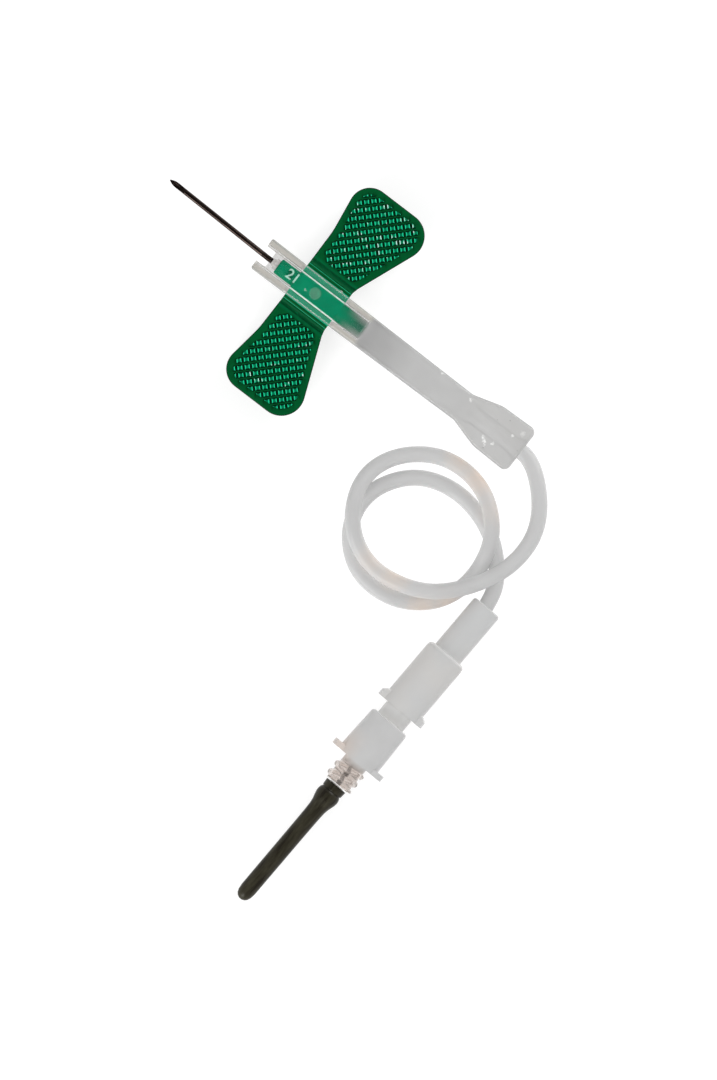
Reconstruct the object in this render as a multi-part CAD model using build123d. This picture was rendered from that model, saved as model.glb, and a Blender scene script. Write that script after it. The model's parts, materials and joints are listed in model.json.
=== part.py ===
from build123d import *
import math
import os

# Winged blood collection needle with a sliding guard, a limp tube and a luer adapter.
# Millimetres. X runs forward along the needle, Y to its left wing, Z up from the table.
# The origin is below the middle of needle and guard, on the surface they lie on.

# Needle: 21 gauge steel tube
CANNULA_OD = 0.82
CANNULA_BORE = 0.51
NEEDLE_EXPOSED = 16.9
NEEDLE_IN_HUB = 6.5
NEEDLE_LEAN = 1.25
NEEDLE_BEND_RADIUS = 60.0
NEEDLE_BEND_BEYOND_GLUE = 0.3
BEVEL_ANGLE = 15.0
LANCET_ANGLE = 24.0
LANCET_TURN = 34.0

# Sliding guard
GUARD_LENGTH = 46.6
GUARD_HEIGHT = 4.8
GUARD_FRONT_WIDTH = 5.2
GUARD_NECK_WIDTH = 4.5
FLARE_WIDTH = 7.35
FLARE_SHOULDER_WIDTH = 7.05
FLARE_LENGTH = 6.0
FLARE_RUN = 4.4
FLARE_SHOULDER_RADIUS = 4.0
FLARE_NECK_RADIUS = 1.5
GUARD_FRONT_RADIUS = 0.25
GUARD_TAIL_RADIUS = 0.95
GUARD_EDGE_RADIUS = 0.45
NOTCH_WIDTH = 2.64
NOTCH_DEPTH = 1.55
NOTCH_CORNER_RADIUS = 0.25
CHANNEL_CORNER_RADIUS = 0.3
GUARD_TRAVEL = 19.3
SLOT_GAP = 0.2
TUBE_HOLE_GAP = 0.25
TUBE_MOUTH_FLARE = 0.6
TUBE_MOUTH_DEPTH = 1.6
GATE_SPOT_DIAMETER = 1.75
GATE_SPOT_DEPTH = 0.06
GATE_SPOT_BEHIND_WING_FRONT = 3.4
DETENT_RADIUS = 0.3
DETENT_AHEAD_OF_WING_REAR = 1.4

# Green moulding: collar round the hub, wing roots and the two wings
COLLAR_DIAMETER = 3.0
COLLAR_CORNER_RADIUS = 0.25
COLLAR_NECK_DIAMETER = 2.4
COLLAR_TAIL_DIAMETER = 2.76
COLLAR_BEHIND_NOTCH = 1.35
COLLAR_NECK_LENGTH = 3.1
COLLAR_TAIL_LENGTH = 4.6
COLLAR_EDGE = 0.15
ROOT_LENGTH = 7.6
WING_THICKNESS = 0.85
WING_REACH = 17.45
WING_FRONT_SWEEP = 1.3
WING_REAR_SWEEP = 5.5
WING_FRONT_CORNER = 3.1
WING_REAR_CORNER = 3.4
WING_HEEL = 0.9
WING_HEEL_RADIUS = 0.7
WING_EDGE_RADIUS = 0.18
HINGE_REACH = 3.35
HINGE_BEAD_RADIUS = 0.28
HINGE_WEB = 0.3
HINGE_LIP = 0.2
HINGE_SLOPE = 0.28
HINGE_WEB_REACH = 0.42

# Diamond grip on the upper side of each wing
PAD_PITCH = 1.06
PAD_GRID_AHEAD = 2.58
PAD_GRID_OUT = 7.8
PAD_SIZE = 0.86
PAD_HEIGHT = 0.24
PAD_TAPER = 44.0
PAD_SINK = 0.05
PAD_LEAST_SHARE = 0.1
FIELD_INSET = 1.0
FIELD_FROM_HINGE = 1.2
FIELD_CORNER_RADIUS = 0.8

# Clear hub inside the collar
HUB_DIAMETER = 2.3
HUB_NOSE_DIAMETER = 1.6
HUB_NOSE_SHOWS = 0.6
HUB_BODY_LENGTH = 6.6
HUB_SPIGOT_LENGTH = 4.6
HUB_FLOW_BORE = 0.6
GLUE_CUP_DIAMETER = 1.25
GLUE_CUP_DEPTH = 1.2
GLUE_MENISCUS = 0.45

# Tubing
TUBE_OD = 2.3
TUBE_BORE = 1.5
TUBE_ARC_SHARE = 0.45

# Female luer connector on the tube's end
LUER_TAPER = 0.06
LUER_MOUTH = 4.3
LUER_SOCKET_DEPTH = 9.0
FEMALE_LENGTH = 19.4
FEMALE_SLEEVE_LENGTH = 8.7
FEMALE_SLEEVE_DIAMETER = 4.6
FEMALE_BODY_DIAMETER = 6.3
FEMALE_SHOULDER = 0.9
TUBE_SOCKET_DEPTH = 4.1
SOCKET_LEAD_IN = 0.3
LUG_WIDTH = 7.9
LUG_LENGTH = 0.85
LUG_THICKNESS = 3.0
LUG_SLOPE = 0.7

# Luer adapter that screws into a tube holder
LUER_INSERTED = 7.5
NECK_SHOWS = 2.0
NECK_DIAMETER = 4.55
NECK_FACE_GAP = 0.1
ADAPTER_BODY_LENGTH = 6.7
ADAPTER_FRONT_DIAMETER = 6.3
ADAPTER_REAR_DIAMETER = 6.7
ADAPTER_CORNER = 0.45
FLANGE_WIDTH = 8.9
FLANGE_THICKNESS = 0.85
SPIGOT_LENGTH = 4.25
THREAD_ROOT_DIAMETER = 3.76
NOSE_DIAMETER = 2.1
NOSE_LENGTH = 2.4
ADAPTER_BORE = 1.0
REAR_CANNULA_OD = 0.72
REAR_CANNULA_BORE = 0.41
REAR_CANNULA_IN_SPIGOT = 6.5
REAR_CANNULA_SHOWS = 20.0
REAR_BEVEL_ANGLE = 22.0
REAR_GLUE_DEPTH = 1.0

# Rubber sleeve over the rear needle
SLEEVE_LENGTH = 21.2
SLEEVE_COLLAR_DIAMETER = 3.4
SLEEVE_COLLAR_LENGTH = 0.95
SLEEVE_GROOVE_DIAMETER = 3.1
SLEEVE_BULB_DIAMETER = 3.55
SLEEVE_DIAMETER = 2.45
SLEEVE_BORE = 1.1
SLEEVE_END_WALL = 0.8

# Running and glued clearances
GLUE_GAP = 0.02
COLLAR_RUNNING_GAP = 0.07
HINGE_GAP = 0.05
ROOT_RUNNING_GAP = 0.2
LUER_GAP = 0.03
SLEEVE_SEAT_GAP = 0.15

# Where things lie along the needle
AXIS_Z = GUARD_HEIGHT / 2
TIP_X = (NEEDLE_EXPOSED + GUARD_LENGTH) / 2
GUARD_FRONT_X = TIP_X - NEEDLE_EXPOSED
GUARD_REAR_X = GUARD_FRONT_X - GUARD_LENGTH
NOTCH_X = GUARD_FRONT_X - NOTCH_DEPTH
COLLAR_FRONT_X = NOTCH_X - COLLAR_BEHIND_NOTCH
ROOT_FRONT_X = COLLAR_FRONT_X - COLLAR_NECK_LENGTH - COLLAR_EDGE
ROOT_REAR_X = ROOT_FRONT_X - ROOT_LENGTH
COLLAR_REAR_X = ROOT_REAR_X - COLLAR_TAIL_LENGTH
HUB_FRONT_X = COLLAR_FRONT_X + HUB_NOSE_SHOWS
HUB_SHOULDER_X = ROOT_FRONT_X
HUB_STEP_X = HUB_SHOULDER_X - HUB_BODY_LENGTH
HUB_REAR_X = HUB_STEP_X - HUB_SPIGOT_LENGTH
CANNULA_REAR_X = HUB_FRONT_X - NEEDLE_IN_HUB
HINGE_COVE_RADIUS = HINGE_BEAD_RADIUS + HINGE_GAP
SLOT_HEIGHT = WING_THICKNESS + 2 * ROOT_RUNNING_GAP
SLOT_REAR_X = ROOT_REAR_X - GUARD_TRAVEL - SLOT_GAP
CHANNEL_WIDTH = COLLAR_DIAMETER + 2 * COLLAR_RUNNING_GAP
CHANNEL_REAR_X = COLLAR_REAR_X - GUARD_TRAVEL - SLOT_GAP

# The connector group lies level, its axis half of the adapter's body above the table
CONNECTOR_HEADING = 87.1
CONNECTOR_START = (-41.4, 20.6)
CONNECTOR_Z = ADAPTER_REAR_DIAMETER / 2
ADAPTER_FACE_S = FEMALE_LENGTH + NECK_SHOWS
FLANGE_S = ADAPTER_FACE_S + ADAPTER_BODY_LENGTH
SPIGOT_S = FLANGE_S + FLANGE_THICKNESS
NOSE_S = SPIGOT_S + SPIGOT_LENGTH
NOSE_END_S = NOSE_S + NOSE_LENGTH
SLEEVE_S = NOSE_S + SLEEVE_SEAT_GAP
CONE_TIP_S = FEMALE_LENGTH - LUER_INSERTED
REAR_TIP_S = NOSE_S + REAR_CANNULA_SHOWS
REAR_CANNULA_START_S = NOSE_S - REAR_CANNULA_IN_SPIGOT

# Route of the tubing's centreline: straight through the guard, then two loose loops.
# The first loop lies over the second where they cross.
ROUTE = [
    (HUB_STEP_X, 0.0, AXIS_Z),
    (-34.3, 0.0, AXIS_Z),
    (-40.4, 6.4, 3.4),
    (-40.9, 13.7, 4.8),
    (-37.3, 20.6, 4.3),
    (-32.2, 24.8, 3.1),
    (-24.7, 26.4, 2.5),
    (-18.7, 23.4, 3.9),
    (-15.7, 17.0, 3.6),
    (-17.7, 11.1, 2.0),
    (-23.5, 6.9, 2.1),
    (-30.7, 7.2, 3.4),
    (-36.1, 11.8, 4.4),
    (-37.4, 18.5, 1.6),
    (-35.6, 24.3, 1.2),
    (-30.3, 28.2, 1.2),
    (-23.6, 28.3, 1.2),
    (-18.7, 24.0, 1.2),
    (-17.6, 17.9, 1.2),
    (-21.3, 12.0, 1.2),
    (-27.4, 9.8, 1.2),
    (-34.3, 11.1, 1.2),
    (-39.5, 15.0, 1.3),
    (-41.45, 19.6, CONNECTOR_Z),
    (-41.2, 24.5, CONNECTOR_Z),
]


def turned(profile):
    """Solid turned about the X axis from its half section, given as (x, radius) points."""
    return revolve(make_face(Polyline(*profile, close=True)), Axis.X)


def on_needle_axis(shape):
    return Pos(0, 0, AXIS_Z) * shape


def on_connector_axis(shape):
    """Moves a piece built along X from the connector's tube end to where it lies."""
    place = Location((*CONNECTOR_START, CONNECTOR_Z), (0, 0, CONNECTOR_HEADING))
    return place * shape


def slab_along_x(rear_x, front_x, profile):
    """Straight bar between two stations, with a closed (y, z) section about the needle axis."""
    face = make_face(Polyline(*[(rear_x, y, z) for y, z in profile], close=True))
    return extrude(face, amount=front_x - rear_x, dir=(1, 0, 0))


def ground_point(outer_radius, bevel, lancet=None):
    """Cutters that grind a needle's point at x = 0: one long bevel, then two side facets."""
    half = 12 * outer_radius
    block = Box(4 * half, 2 * half, half, align=(Align.CENTER, Align.CENTER, Align.MIN))
    grinds = [Pos(0, 0, -outer_radius) * Rot(0, bevel, 0) * block]
    if lancet:
        angle, turn = lancet
        for side in (-turn, turn):
            grinds.append(Pos(0, 0, -outer_radius) * Rot(side, 0, 0) * Rot(0, angle, 0) * block)
    return grinds


def steel_tube(length, outer_radius, bore_radius):
    profile = [(-length, bore_radius), (0, bore_radius), (0, outer_radius), (-length, outer_radius)]
    return turned(profile)


def cannula():
    """Hollow needle, its bevel upwards like the wings' grip side. It is bent a little to the
    right where it leaves the glue, as needles are after a knock."""
    radius = CANNULA_OD / 2
    lean = math.radians(NEEDLE_LEAN)
    bend_x = HUB_FRONT_X + GLUE_MENISCUS + NEEDLE_BEND_BEYOND_GLUE + NEEDLE_BEND_RADIUS * math.tan(lean / 2)
    tip_y = -(TIP_X - bend_x) * math.tan(lean)
    path = FilletPolyline((CANNULA_REAR_X, 0), (bend_x, 0), (TIP_X, tip_y), radius=NEEDLE_BEND_RADIUS)
    wall = Circle(radius) - Circle(CANNULA_BORE / 2)
    needle = sweep(Plane(origin=path @ 0, z_dir=path % 0) * wall, path=path)
    for grind in ground_point(radius, BEVEL_ANGLE, (LANCET_ANGLE, LANCET_TURN)):
        needle -= Pos(TIP_X, tip_y, 0) * Rot(0, 0, -NEEDLE_LEAN) * grind
    return on_needle_axis(needle)


def cannula_adhesive():
    """Cured bead that fills the hub's cup and climbs the needle a little."""
    inner = CANNULA_OD / 2 + GLUE_GAP
    outer = GLUE_CUP_DIAMETER / 2 - GLUE_GAP
    back = HUB_FRONT_X - GLUE_CUP_DEPTH + GLUE_GAP
    bead = turned([
        (back, inner),
        (HUB_FRONT_X + GLUE_MENISCUS, inner),
        (HUB_FRONT_X + GLUE_MENISCUS, inner + 0.06),
        (HUB_FRONT_X + GLUE_MENISCUS / 3, inner + 0.12),
        (HUB_FRONT_X, outer),
        (back, outer),
    ])
    return on_needle_axis(bead)


def hub_tube():
    """Clear hub: glue cup and nose in front, body, and a spigot that the tube fits over."""
    nose = HUB_NOSE_DIAMETER / 2
    body = HUB_DIAMETER / 2
    spigot = TUBE_BORE / 2 - GLUE_GAP
    bore = CANNULA_OD / 2 + GLUE_GAP
    flow = HUB_FLOW_BORE / 2
    hub = turned([
        (HUB_REAR_X, flow),
        (CANNULA_REAR_X - GLUE_GAP, flow),
        (CANNULA_REAR_X - GLUE_GAP, bore),
        (HUB_FRONT_X - GLUE_CUP_DEPTH, bore),
        (HUB_FRONT_X - GLUE_CUP_DEPTH, GLUE_CUP_DIAMETER / 2),
        (HUB_FRONT_X, GLUE_CUP_DIAMETER / 2),
        (HUB_FRONT_X, nose),
        (HUB_SHOULDER_X, nose),
        (HUB_SHOULDER_X, body),
        (HUB_STEP_X + GLUE_GAP, body),
        (HUB_STEP_X + GLUE_GAP, spigot),
        (HUB_REAR_X, spigot),
    ])
    return on_needle_axis(hub)


def root_section():
    """Section of the wing roots, from hinge to hinge, with lips that slope to the hinges."""
    half = WING_THICKNESS / 2
    lip = HINGE_REACH - HINGE_LIP
    shoulder = lip - HINGE_SLOPE
    right_side = [(shoulder, -half), (lip, -HINGE_LIP), (lip, HINGE_LIP), (shoulder, half)]
    left_side = [(-y, z) for y, z in reversed(right_side)]
    return right_side + left_side


def wing_collar():
    """Green collar bonded round the hub: round neck and tail, a barrel squared off between the
    wing roots, which keeps the wings level in the guard's channel, and the two roots."""
    neck = COLLAR_NECK_DIAMETER / 2
    barrel = COLLAR_DIAMETER / 2
    tail = COLLAR_TAIL_DIAMETER / 2
    shell = turned([
        (COLLAR_REAR_X, 0),
        (COLLAR_FRONT_X, 0),
        (COLLAR_FRONT_X, neck - COLLAR_EDGE),
        (COLLAR_FRONT_X - COLLAR_EDGE, neck),
        (COLLAR_FRONT_X - COLLAR_NECK_LENGTH, neck),
        (ROOT_FRONT_X, barrel),
        (ROOT_REAR_X, barrel),
        (COLLAR_REAR_X + COLLAR_EDGE, tail),
        (COLLAR_REAR_X, tail - COLLAR_EDGE),
    ])
    square = Plane.YZ * RectangleRounded(COLLAR_DIAMETER, COLLAR_DIAMETER, COLLAR_CORNER_RADIUS)
    collar = shell + Pos(ROOT_REAR_X, 0, 0) * extrude(square, amount=ROOT_LENGTH)
    collar += slab_along_x(ROOT_REAR_X, ROOT_FRONT_X, root_section())
    bore = turned([
        (COLLAR_REAR_X - 1, 0),
        (COLLAR_FRONT_X + 1, 0),
        (COLLAR_FRONT_X + 1, HUB_NOSE_DIAMETER / 2 + GLUE_GAP),
        (HUB_SHOULDER_X + GLUE_GAP, HUB_NOSE_DIAMETER / 2 + GLUE_GAP),
        (HUB_SHOULDER_X + GLUE_GAP, HUB_DIAMETER / 2 + GLUE_GAP),
        (COLLAR_REAR_X - 1, HUB_DIAMETER / 2 + GLUE_GAP),
    ])
    collar -= bore
    for side in (-1, 1):
        cove = Rot(0, 90, 0) * Cylinder(HINGE_COVE_RADIUS, 2 * ROOT_LENGTH)
        collar -= Pos((ROOT_FRONT_X + ROOT_REAR_X) / 2, side * HINGE_REACH, 0) * cove
    return on_needle_axis(collar)


def wing_outline():
    """Plan of the left wing: swept edges, two large tip corners and a small heel at the root."""
    front_tip = (ROOT_FRONT_X + WING_FRONT_SWEEP, WING_REACH)
    rear_tip = (ROOT_REAR_X - WING_REAR_SWEEP, WING_REACH)
    heel = (ROOT_REAR_X - WING_HEEL / 4, HINGE_REACH + WING_HEEL)
    corners = [
        ((ROOT_FRONT_X, HINGE_REACH), 0),
        ((ROOT_FRONT_X + 0.05, WING_REACH / 2), 12.0),
        (front_tip, WING_FRONT_CORNER),
        (rear_tip, WING_REAR_CORNER),
        (heel, WING_HEEL_RADIUS),
        ((ROOT_REAR_X, HINGE_REACH), 0),
    ]
    points = [point for point, radius in corners]
    return FilletPolyline(*points, radius=[radius for point, radius in corners], close=True)


def wing_section():
    """Section of the left wing from its hinge web to past its tip."""
    half = WING_THICKNESS / 2
    web = HINGE_WEB / 2
    slope_end = HINGE_REACH + HINGE_WEB_REACH + HINGE_SLOPE
    past_tip = WING_REACH + 1
    return [
        (HINGE_REACH, -web),
        (HINGE_REACH + HINGE_WEB_REACH, -web),
        (slope_end, -half),
        (past_tip, -half),
        (past_tip, half),
        (slope_end, half),
        (HINGE_REACH + HINGE_WEB_REACH, web),
        (HINGE_REACH, web),
    ]


def grip_field(outline):
    """Part of the wing's plan that the grip covers, cut off short of the hinge."""
    start = HINGE_REACH + FIELD_FROM_HINGE + FIELD_CORNER_RADIUS
    far = WING_REACH + WING_REAR_SWEEP
    past_hinge = Pos(ROOT_REAR_X, start) * Rectangle(4 * far, far, align=(Align.CENTER, Align.MIN))
    core = offset(outline, amount=-FIELD_INSET - FIELD_CORNER_RADIUS) & past_hinge
    return offset(core, amount=FIELD_CORNER_RADIUS)


def grip_pads(outline):
    """Small tapered pads on a square grid that stands at 45 degrees to the needle. The field's
    edge cuts through the outermost ones."""
    field = grip_field(outline)
    steps = math.ceil(field.bounding_box().size.length / PAD_PITCH)
    step = PAD_PITCH / math.sqrt(2)
    base = PAD_SIZE + 2 * PAD_SINK * math.tan(math.radians(PAD_TAPER))
    pad = extrude(Rot(0, 0, 45) * Rectangle(base, base), amount=PAD_HEIGHT + PAD_SINK, taper=PAD_TAPER)
    bottom = WING_THICKNESS / 2 - PAD_SINK
    block = Pos(0, 0, bottom) * extrude(field, amount=PAD_HEIGHT + PAD_SINK)
    reach = base / math.sqrt(2)
    pads = []
    for row in range(-steps, steps + 1):
        for column in range(-steps, steps + 1):
            x = ROOT_REAR_X + PAD_GRID_AHEAD + row * step
            y = HINGE_REACH + PAD_GRID_OUT + column * step
            corners = [(x - reach, y), (x + reach, y), (x, y - reach), (x, y + reach)]
            inside = [field.face().is_inside(Vector(*corner, 0)) for corner in corners]
            if (row + column) % 2 or not any(inside):
                continue
            placed = Pos(x, y, bottom) * pad
            if not all(inside):
                placed = placed & block
            if placed.volume > PAD_LEAST_SHARE * pad.volume:
                pads.append(placed)
    return pads


def left_wing():
    """Flat wing with rounded edges, a diamond grip on top and a hinge bead along its root."""
    outline = make_face(wing_outline())
    plate = Pos(0, 0, -WING_THICKNESS / 2) * extrude(outline, amount=WING_THICKNESS)
    rims = plate.faces().sort_by(Axis.Z)
    plate = fillet(rims[0].edges() + rims[-1].edges(), WING_EDGE_RADIUS)
    wing = plate & slab_along_x(ROOT_REAR_X - WING_REACH, ROOT_FRONT_X + WING_REACH, wing_section())
    bead = Rot(0, 90, 0) * Cylinder(HINGE_BEAD_RADIUS, ROOT_LENGTH)
    wing += Pos((ROOT_FRONT_X + ROOT_REAR_X) / 2, HINGE_REACH, 0) * bead
    wing += grip_pads(outline)
    return on_needle_axis(wing)


def guard_outline():
    """Plan of the guard: slightly tapered sides that swell into the flared tail."""
    half = [
        ((GUARD_FRONT_X, GUARD_FRONT_WIDTH / 2), GUARD_FRONT_RADIUS),
        ((GUARD_REAR_X + FLARE_LENGTH + FLARE_RUN, GUARD_NECK_WIDTH / 2), FLARE_NECK_RADIUS),
        ((GUARD_REAR_X + FLARE_LENGTH, FLARE_SHOULDER_WIDTH / 2), FLARE_SHOULDER_RADIUS),
        ((GUARD_REAR_X, FLARE_WIDTH / 2), GUARD_TAIL_RADIUS),
    ]
    corners = half + [((x, -y), radius) for (x, y), radius in reversed(half)]
    points = [point for point, radius in corners]
    return FilletPolyline(*points, radius=[radius for point, radius in corners], close=True)


def guard_channel():
    """Square channel that the collar runs in, and the hole for the tube behind it."""
    length = GUARD_FRONT_X + 1 - CHANNEL_REAR_X
    section = Plane.YZ * RectangleRounded(CHANNEL_WIDTH, CHANNEL_WIDTH, CHANNEL_CORNER_RADIUS)
    channel = Pos(CHANNEL_REAR_X, 0, 0) * extrude(section, amount=length)
    hole = TUBE_OD / 2 + TUBE_HOLE_GAP
    tail = turned([
        (GUARD_REAR_X - 1, 0),
        (CHANNEL_REAR_X + 0.5, 0),
        (CHANNEL_REAR_X + 0.5, hole),
        (GUARD_REAR_X + TUBE_MOUTH_DEPTH, hole),
        (GUARD_REAR_X, hole + TUBE_MOUTH_FLARE),
        (GUARD_REAR_X - 1, hole + TUBE_MOUTH_FLARE),
    ])
    return channel + tail


def guard_slots():
    """Slots in both sides, open at the front, that the wing roots run in."""
    length = GUARD_FRONT_X + 1 - SLOT_REAR_X
    start = SLOT_REAR_X + SLOT_HEIGHT / 2
    bar = Box(length - SLOT_HEIGHT / 2, 2 * FLARE_WIDTH, SLOT_HEIGHT, align=(Align.MIN, Align.CENTER, Align.CENTER))
    rounded_end = Rot(90, 0, 0) * Cylinder(SLOT_HEIGHT / 2, 2 * FLARE_WIDTH)
    return Pos(start, 0, 0) * (bar + rounded_end)


def guard():
    """Translucent sliding guard with a notched front, side slots and a flared finger tail."""
    body = Pos(0, 0, -AXIS_Z) * extrude(make_face(guard_outline()), amount=GUARD_HEIGHT)
    rims = body.faces().sort_by(Axis.Z)
    body = fillet(rims[0].edges() + rims[-1].edges(), GUARD_EDGE_RADIUS)
    notch = Box(NOTCH_DEPTH + 1, NOTCH_WIDTH, 2 * GUARD_HEIGHT, align=(Align.MIN, Align.CENTER, Align.CENTER))
    notch = fillet(notch.edges().filter_by(Axis.Z), NOTCH_CORNER_RADIUS)
    body -= Pos(NOTCH_X, 0, 0) * notch
    body -= guard_channel()
    body -= guard_slots()
    spot = Cylinder(GATE_SPOT_DIAMETER / 2, 2 * GATE_SPOT_DEPTH)
    body -= Pos(ROOT_FRONT_X - GATE_SPOT_BEHIND_WING_FRONT, 0, AXIS_Z) * spot
    slope = (GUARD_FRONT_WIDTH - GUARD_NECK_WIDTH) / 2 / (GUARD_LENGTH - FLARE_LENGTH - FLARE_RUN)
    detent_x = ROOT_REAR_X + DETENT_AHEAD_OF_WING_REAR
    side = GUARD_FRONT_WIDTH / 2 - slope * (GUARD_FRONT_X - detent_x)
    detent_z = AXIS_Z - GUARD_EDGE_RADIUS - DETENT_RADIUS
    body += Pos(detent_x, DETENT_RADIUS / 3 - side, detent_z) * Sphere(DETENT_RADIUS)
    return on_needle_axis(body)


def route_radii():
    """Each bend is as large as its two runs allow."""
    points = [Vector(*point) for point in ROUTE]
    radii = []
    for before, here, after in zip(points, points[1:], points[2:]):
        turn = math.radians((here - before).get_angle(after - here))
        shorter = min((here - before).length, (after - here).length)
        radii.append(TUBE_ARC_SHARE * shorter / math.tan(turn / 2))
    return radii


def tubing():
    """Limp clear tube from the hub to the connector's socket. Its bore is cut only where the
    hub's spigot fills it, and the rest stays plain."""
    radii = route_radii()
    path = FilletPolyline(*ROUTE, radius=radii)
    start = Plane(origin=path @ 0, z_dir=path % 0)
    tube = sweep(start * Circle(TUBE_OD / 2), path=path)
    expected = math.pi / 4 * TUBE_OD**2 * path.length
    print("bend radii", " ".join(f"{radius:.1f}" for radius in radii))
    print(f"tube length {path.length:.1f}, volume {tube.volume:.1f}, section times length {expected:.1f}")
    bored_length = HUB_SPIGOT_LENGTH + GLUE_GAP
    return tube - extrude(start * Circle(TUBE_BORE / 2), amount=bored_length)


def ears(start, thickness, width, height, shape):
    """Keeps two ears of a ring, left and right, by trimming it flat above and below."""
    trim = Box(thickness, 2 * width, height, align=(Align.MIN, Align.CENTER, Align.CENTER))
    return shape & (Pos(start, 0, 0) * trim)


def female_luer():
    """Tube socket, shouldered body with the luer cone socket, and two lugs at its face."""
    sleeve = FEMALE_SLEEVE_DIAMETER / 2
    body = FEMALE_BODY_DIAMETER / 2
    shoulder_end = FEMALE_SLEEVE_LENGTH + FEMALE_SHOULDER
    socket = TUBE_OD / 2 + GLUE_GAP
    mouth = LUER_MOUTH / 2
    socket_floor = mouth - LUER_TAPER / 2 * LUER_SOCKET_DEPTH
    cone_start = FEMALE_LENGTH - LUER_SOCKET_DEPTH
    shell = turned([
        (0, socket + SOCKET_LEAD_IN),
        (0, sleeve - 0.35),
        (0.12, sleeve - 0.12),
        (0.4, sleeve),
        (FEMALE_SLEEVE_LENGTH, sleeve),
        (FEMALE_SLEEVE_LENGTH + 0.15, body - 0.35),
        (FEMALE_SLEEVE_LENGTH + 0.4, body - 0.1),
        (shoulder_end, body),
        (FEMALE_LENGTH, body),
        (FEMALE_LENGTH, mouth),
        (cone_start, socket_floor),
        (cone_start, TUBE_BORE / 2),
        (TUBE_SOCKET_DEPTH, TUBE_BORE / 2),
        (TUBE_SOCKET_DEPTH, socket),
        (2 * SOCKET_LEAD_IN, socket),
    ])
    lug_start = FEMALE_LENGTH - LUG_LENGTH
    lug = LUG_WIDTH / 2
    overlap = body - 0.2
    ring = turned([
        (lug_start - LUG_SLOPE, overlap),
        (lug_start - LUG_SLOPE, body),
        (lug_start - LUG_SLOPE / 2, (body + 2 * lug) / 3),
        (lug_start - LUG_SLOPE / 6, lug - 0.06),
        (lug_start, lug),
        (FEMALE_LENGTH, lug),
        (FEMALE_LENGTH, overlap),
    ])
    lugs = ears(lug_start - LUG_SLOPE, LUG_LENGTH + LUG_SLOPE, LUG_WIDTH, LUG_THICKNESS, ring)
    return on_connector_axis(shell + lugs)


def luer_adapter():
    """Male cone, barrel, eared flange and the spigot that screws into a tube holder."""
    base = LUER_MOUTH / 2 - LUER_GAP
    tip = base - LUER_TAPER / 2 * LUER_INSERTED
    neck = NECK_DIAMETER / 2
    neck_start = FEMALE_LENGTH + NECK_FACE_GAP
    front = ADAPTER_FRONT_DIAMETER / 2
    rear = ADAPTER_REAR_DIAMETER / 2
    root = THREAD_ROOT_DIAMETER / 2
    bore = ADAPTER_BORE / 2
    seat = REAR_CANNULA_OD / 2 + GLUE_GAP
    cup = seat + 0.2
    core = turned([
        (CONE_TIP_S, bore),
        (CONE_TIP_S, tip - 0.15),
        (CONE_TIP_S + 0.15, tip),
        (neck_start, base + LUER_TAPER / 2 * NECK_FACE_GAP),
        (neck_start, neck),
        (ADAPTER_FACE_S, neck),
        (ADAPTER_FACE_S, front - ADAPTER_CORNER),
        (ADAPTER_FACE_S + ADAPTER_CORNER * 0.3, front - ADAPTER_CORNER * 0.3),
        (ADAPTER_FACE_S + ADAPTER_CORNER, front),
        (FLANGE_S, rear),
        (SPIGOT_S, rear),
        (SPIGOT_S, root),
        (NOSE_S, root),
        (NOSE_S, NOSE_DIAMETER / 2),
        (NOSE_END_S, NOSE_DIAMETER / 2),
        (NOSE_END_S, cup),
        (NOSE_END_S - REAR_GLUE_DEPTH, cup),
        (NOSE_END_S - REAR_GLUE_DEPTH, seat),
        (REAR_CANNULA_START_S - GLUE_GAP, seat),
        (REAR_CANNULA_START_S - GLUE_GAP, bore),
    ])
    flange = turned([
        (FLANGE_S, rear - 0.3),
        (FLANGE_S, FLANGE_WIDTH / 2),
        (SPIGOT_S, FLANGE_WIDTH / 2),
        (SPIGOT_S, rear - 0.3),
    ])
    ears_height = ADAPTER_REAR_DIAMETER * 0.62
    flange_ears = ears(FLANGE_S, FLANGE_THICKNESS, FLANGE_WIDTH, ears_height, flange)
    return on_connector_axis(core + flange_ears)


def rear_cannula():
    """Hollow rear needle that pierces the sleeve and a tube's stopper."""
    radius = REAR_CANNULA_OD / 2
    needle = steel_tube(REAR_TIP_S - REAR_CANNULA_START_S, radius, REAR_CANNULA_BORE / 2)
    for grind in ground_point(radius, REAR_BEVEL_ANGLE):
        needle -= grind
    return on_connector_axis(Pos(REAR_TIP_S, 0, 0) * needle)


def rear_adhesive():
    inner = REAR_CANNULA_OD / 2 + GLUE_GAP
    outer = REAR_CANNULA_OD / 2 + 0.2
    start = NOSE_END_S - REAR_GLUE_DEPTH + GLUE_GAP
    ring = turned([(start, inner), (NOSE_END_S, inner), (NOSE_END_S, outer), (start, outer)])
    return on_connector_axis(ring)


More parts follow.
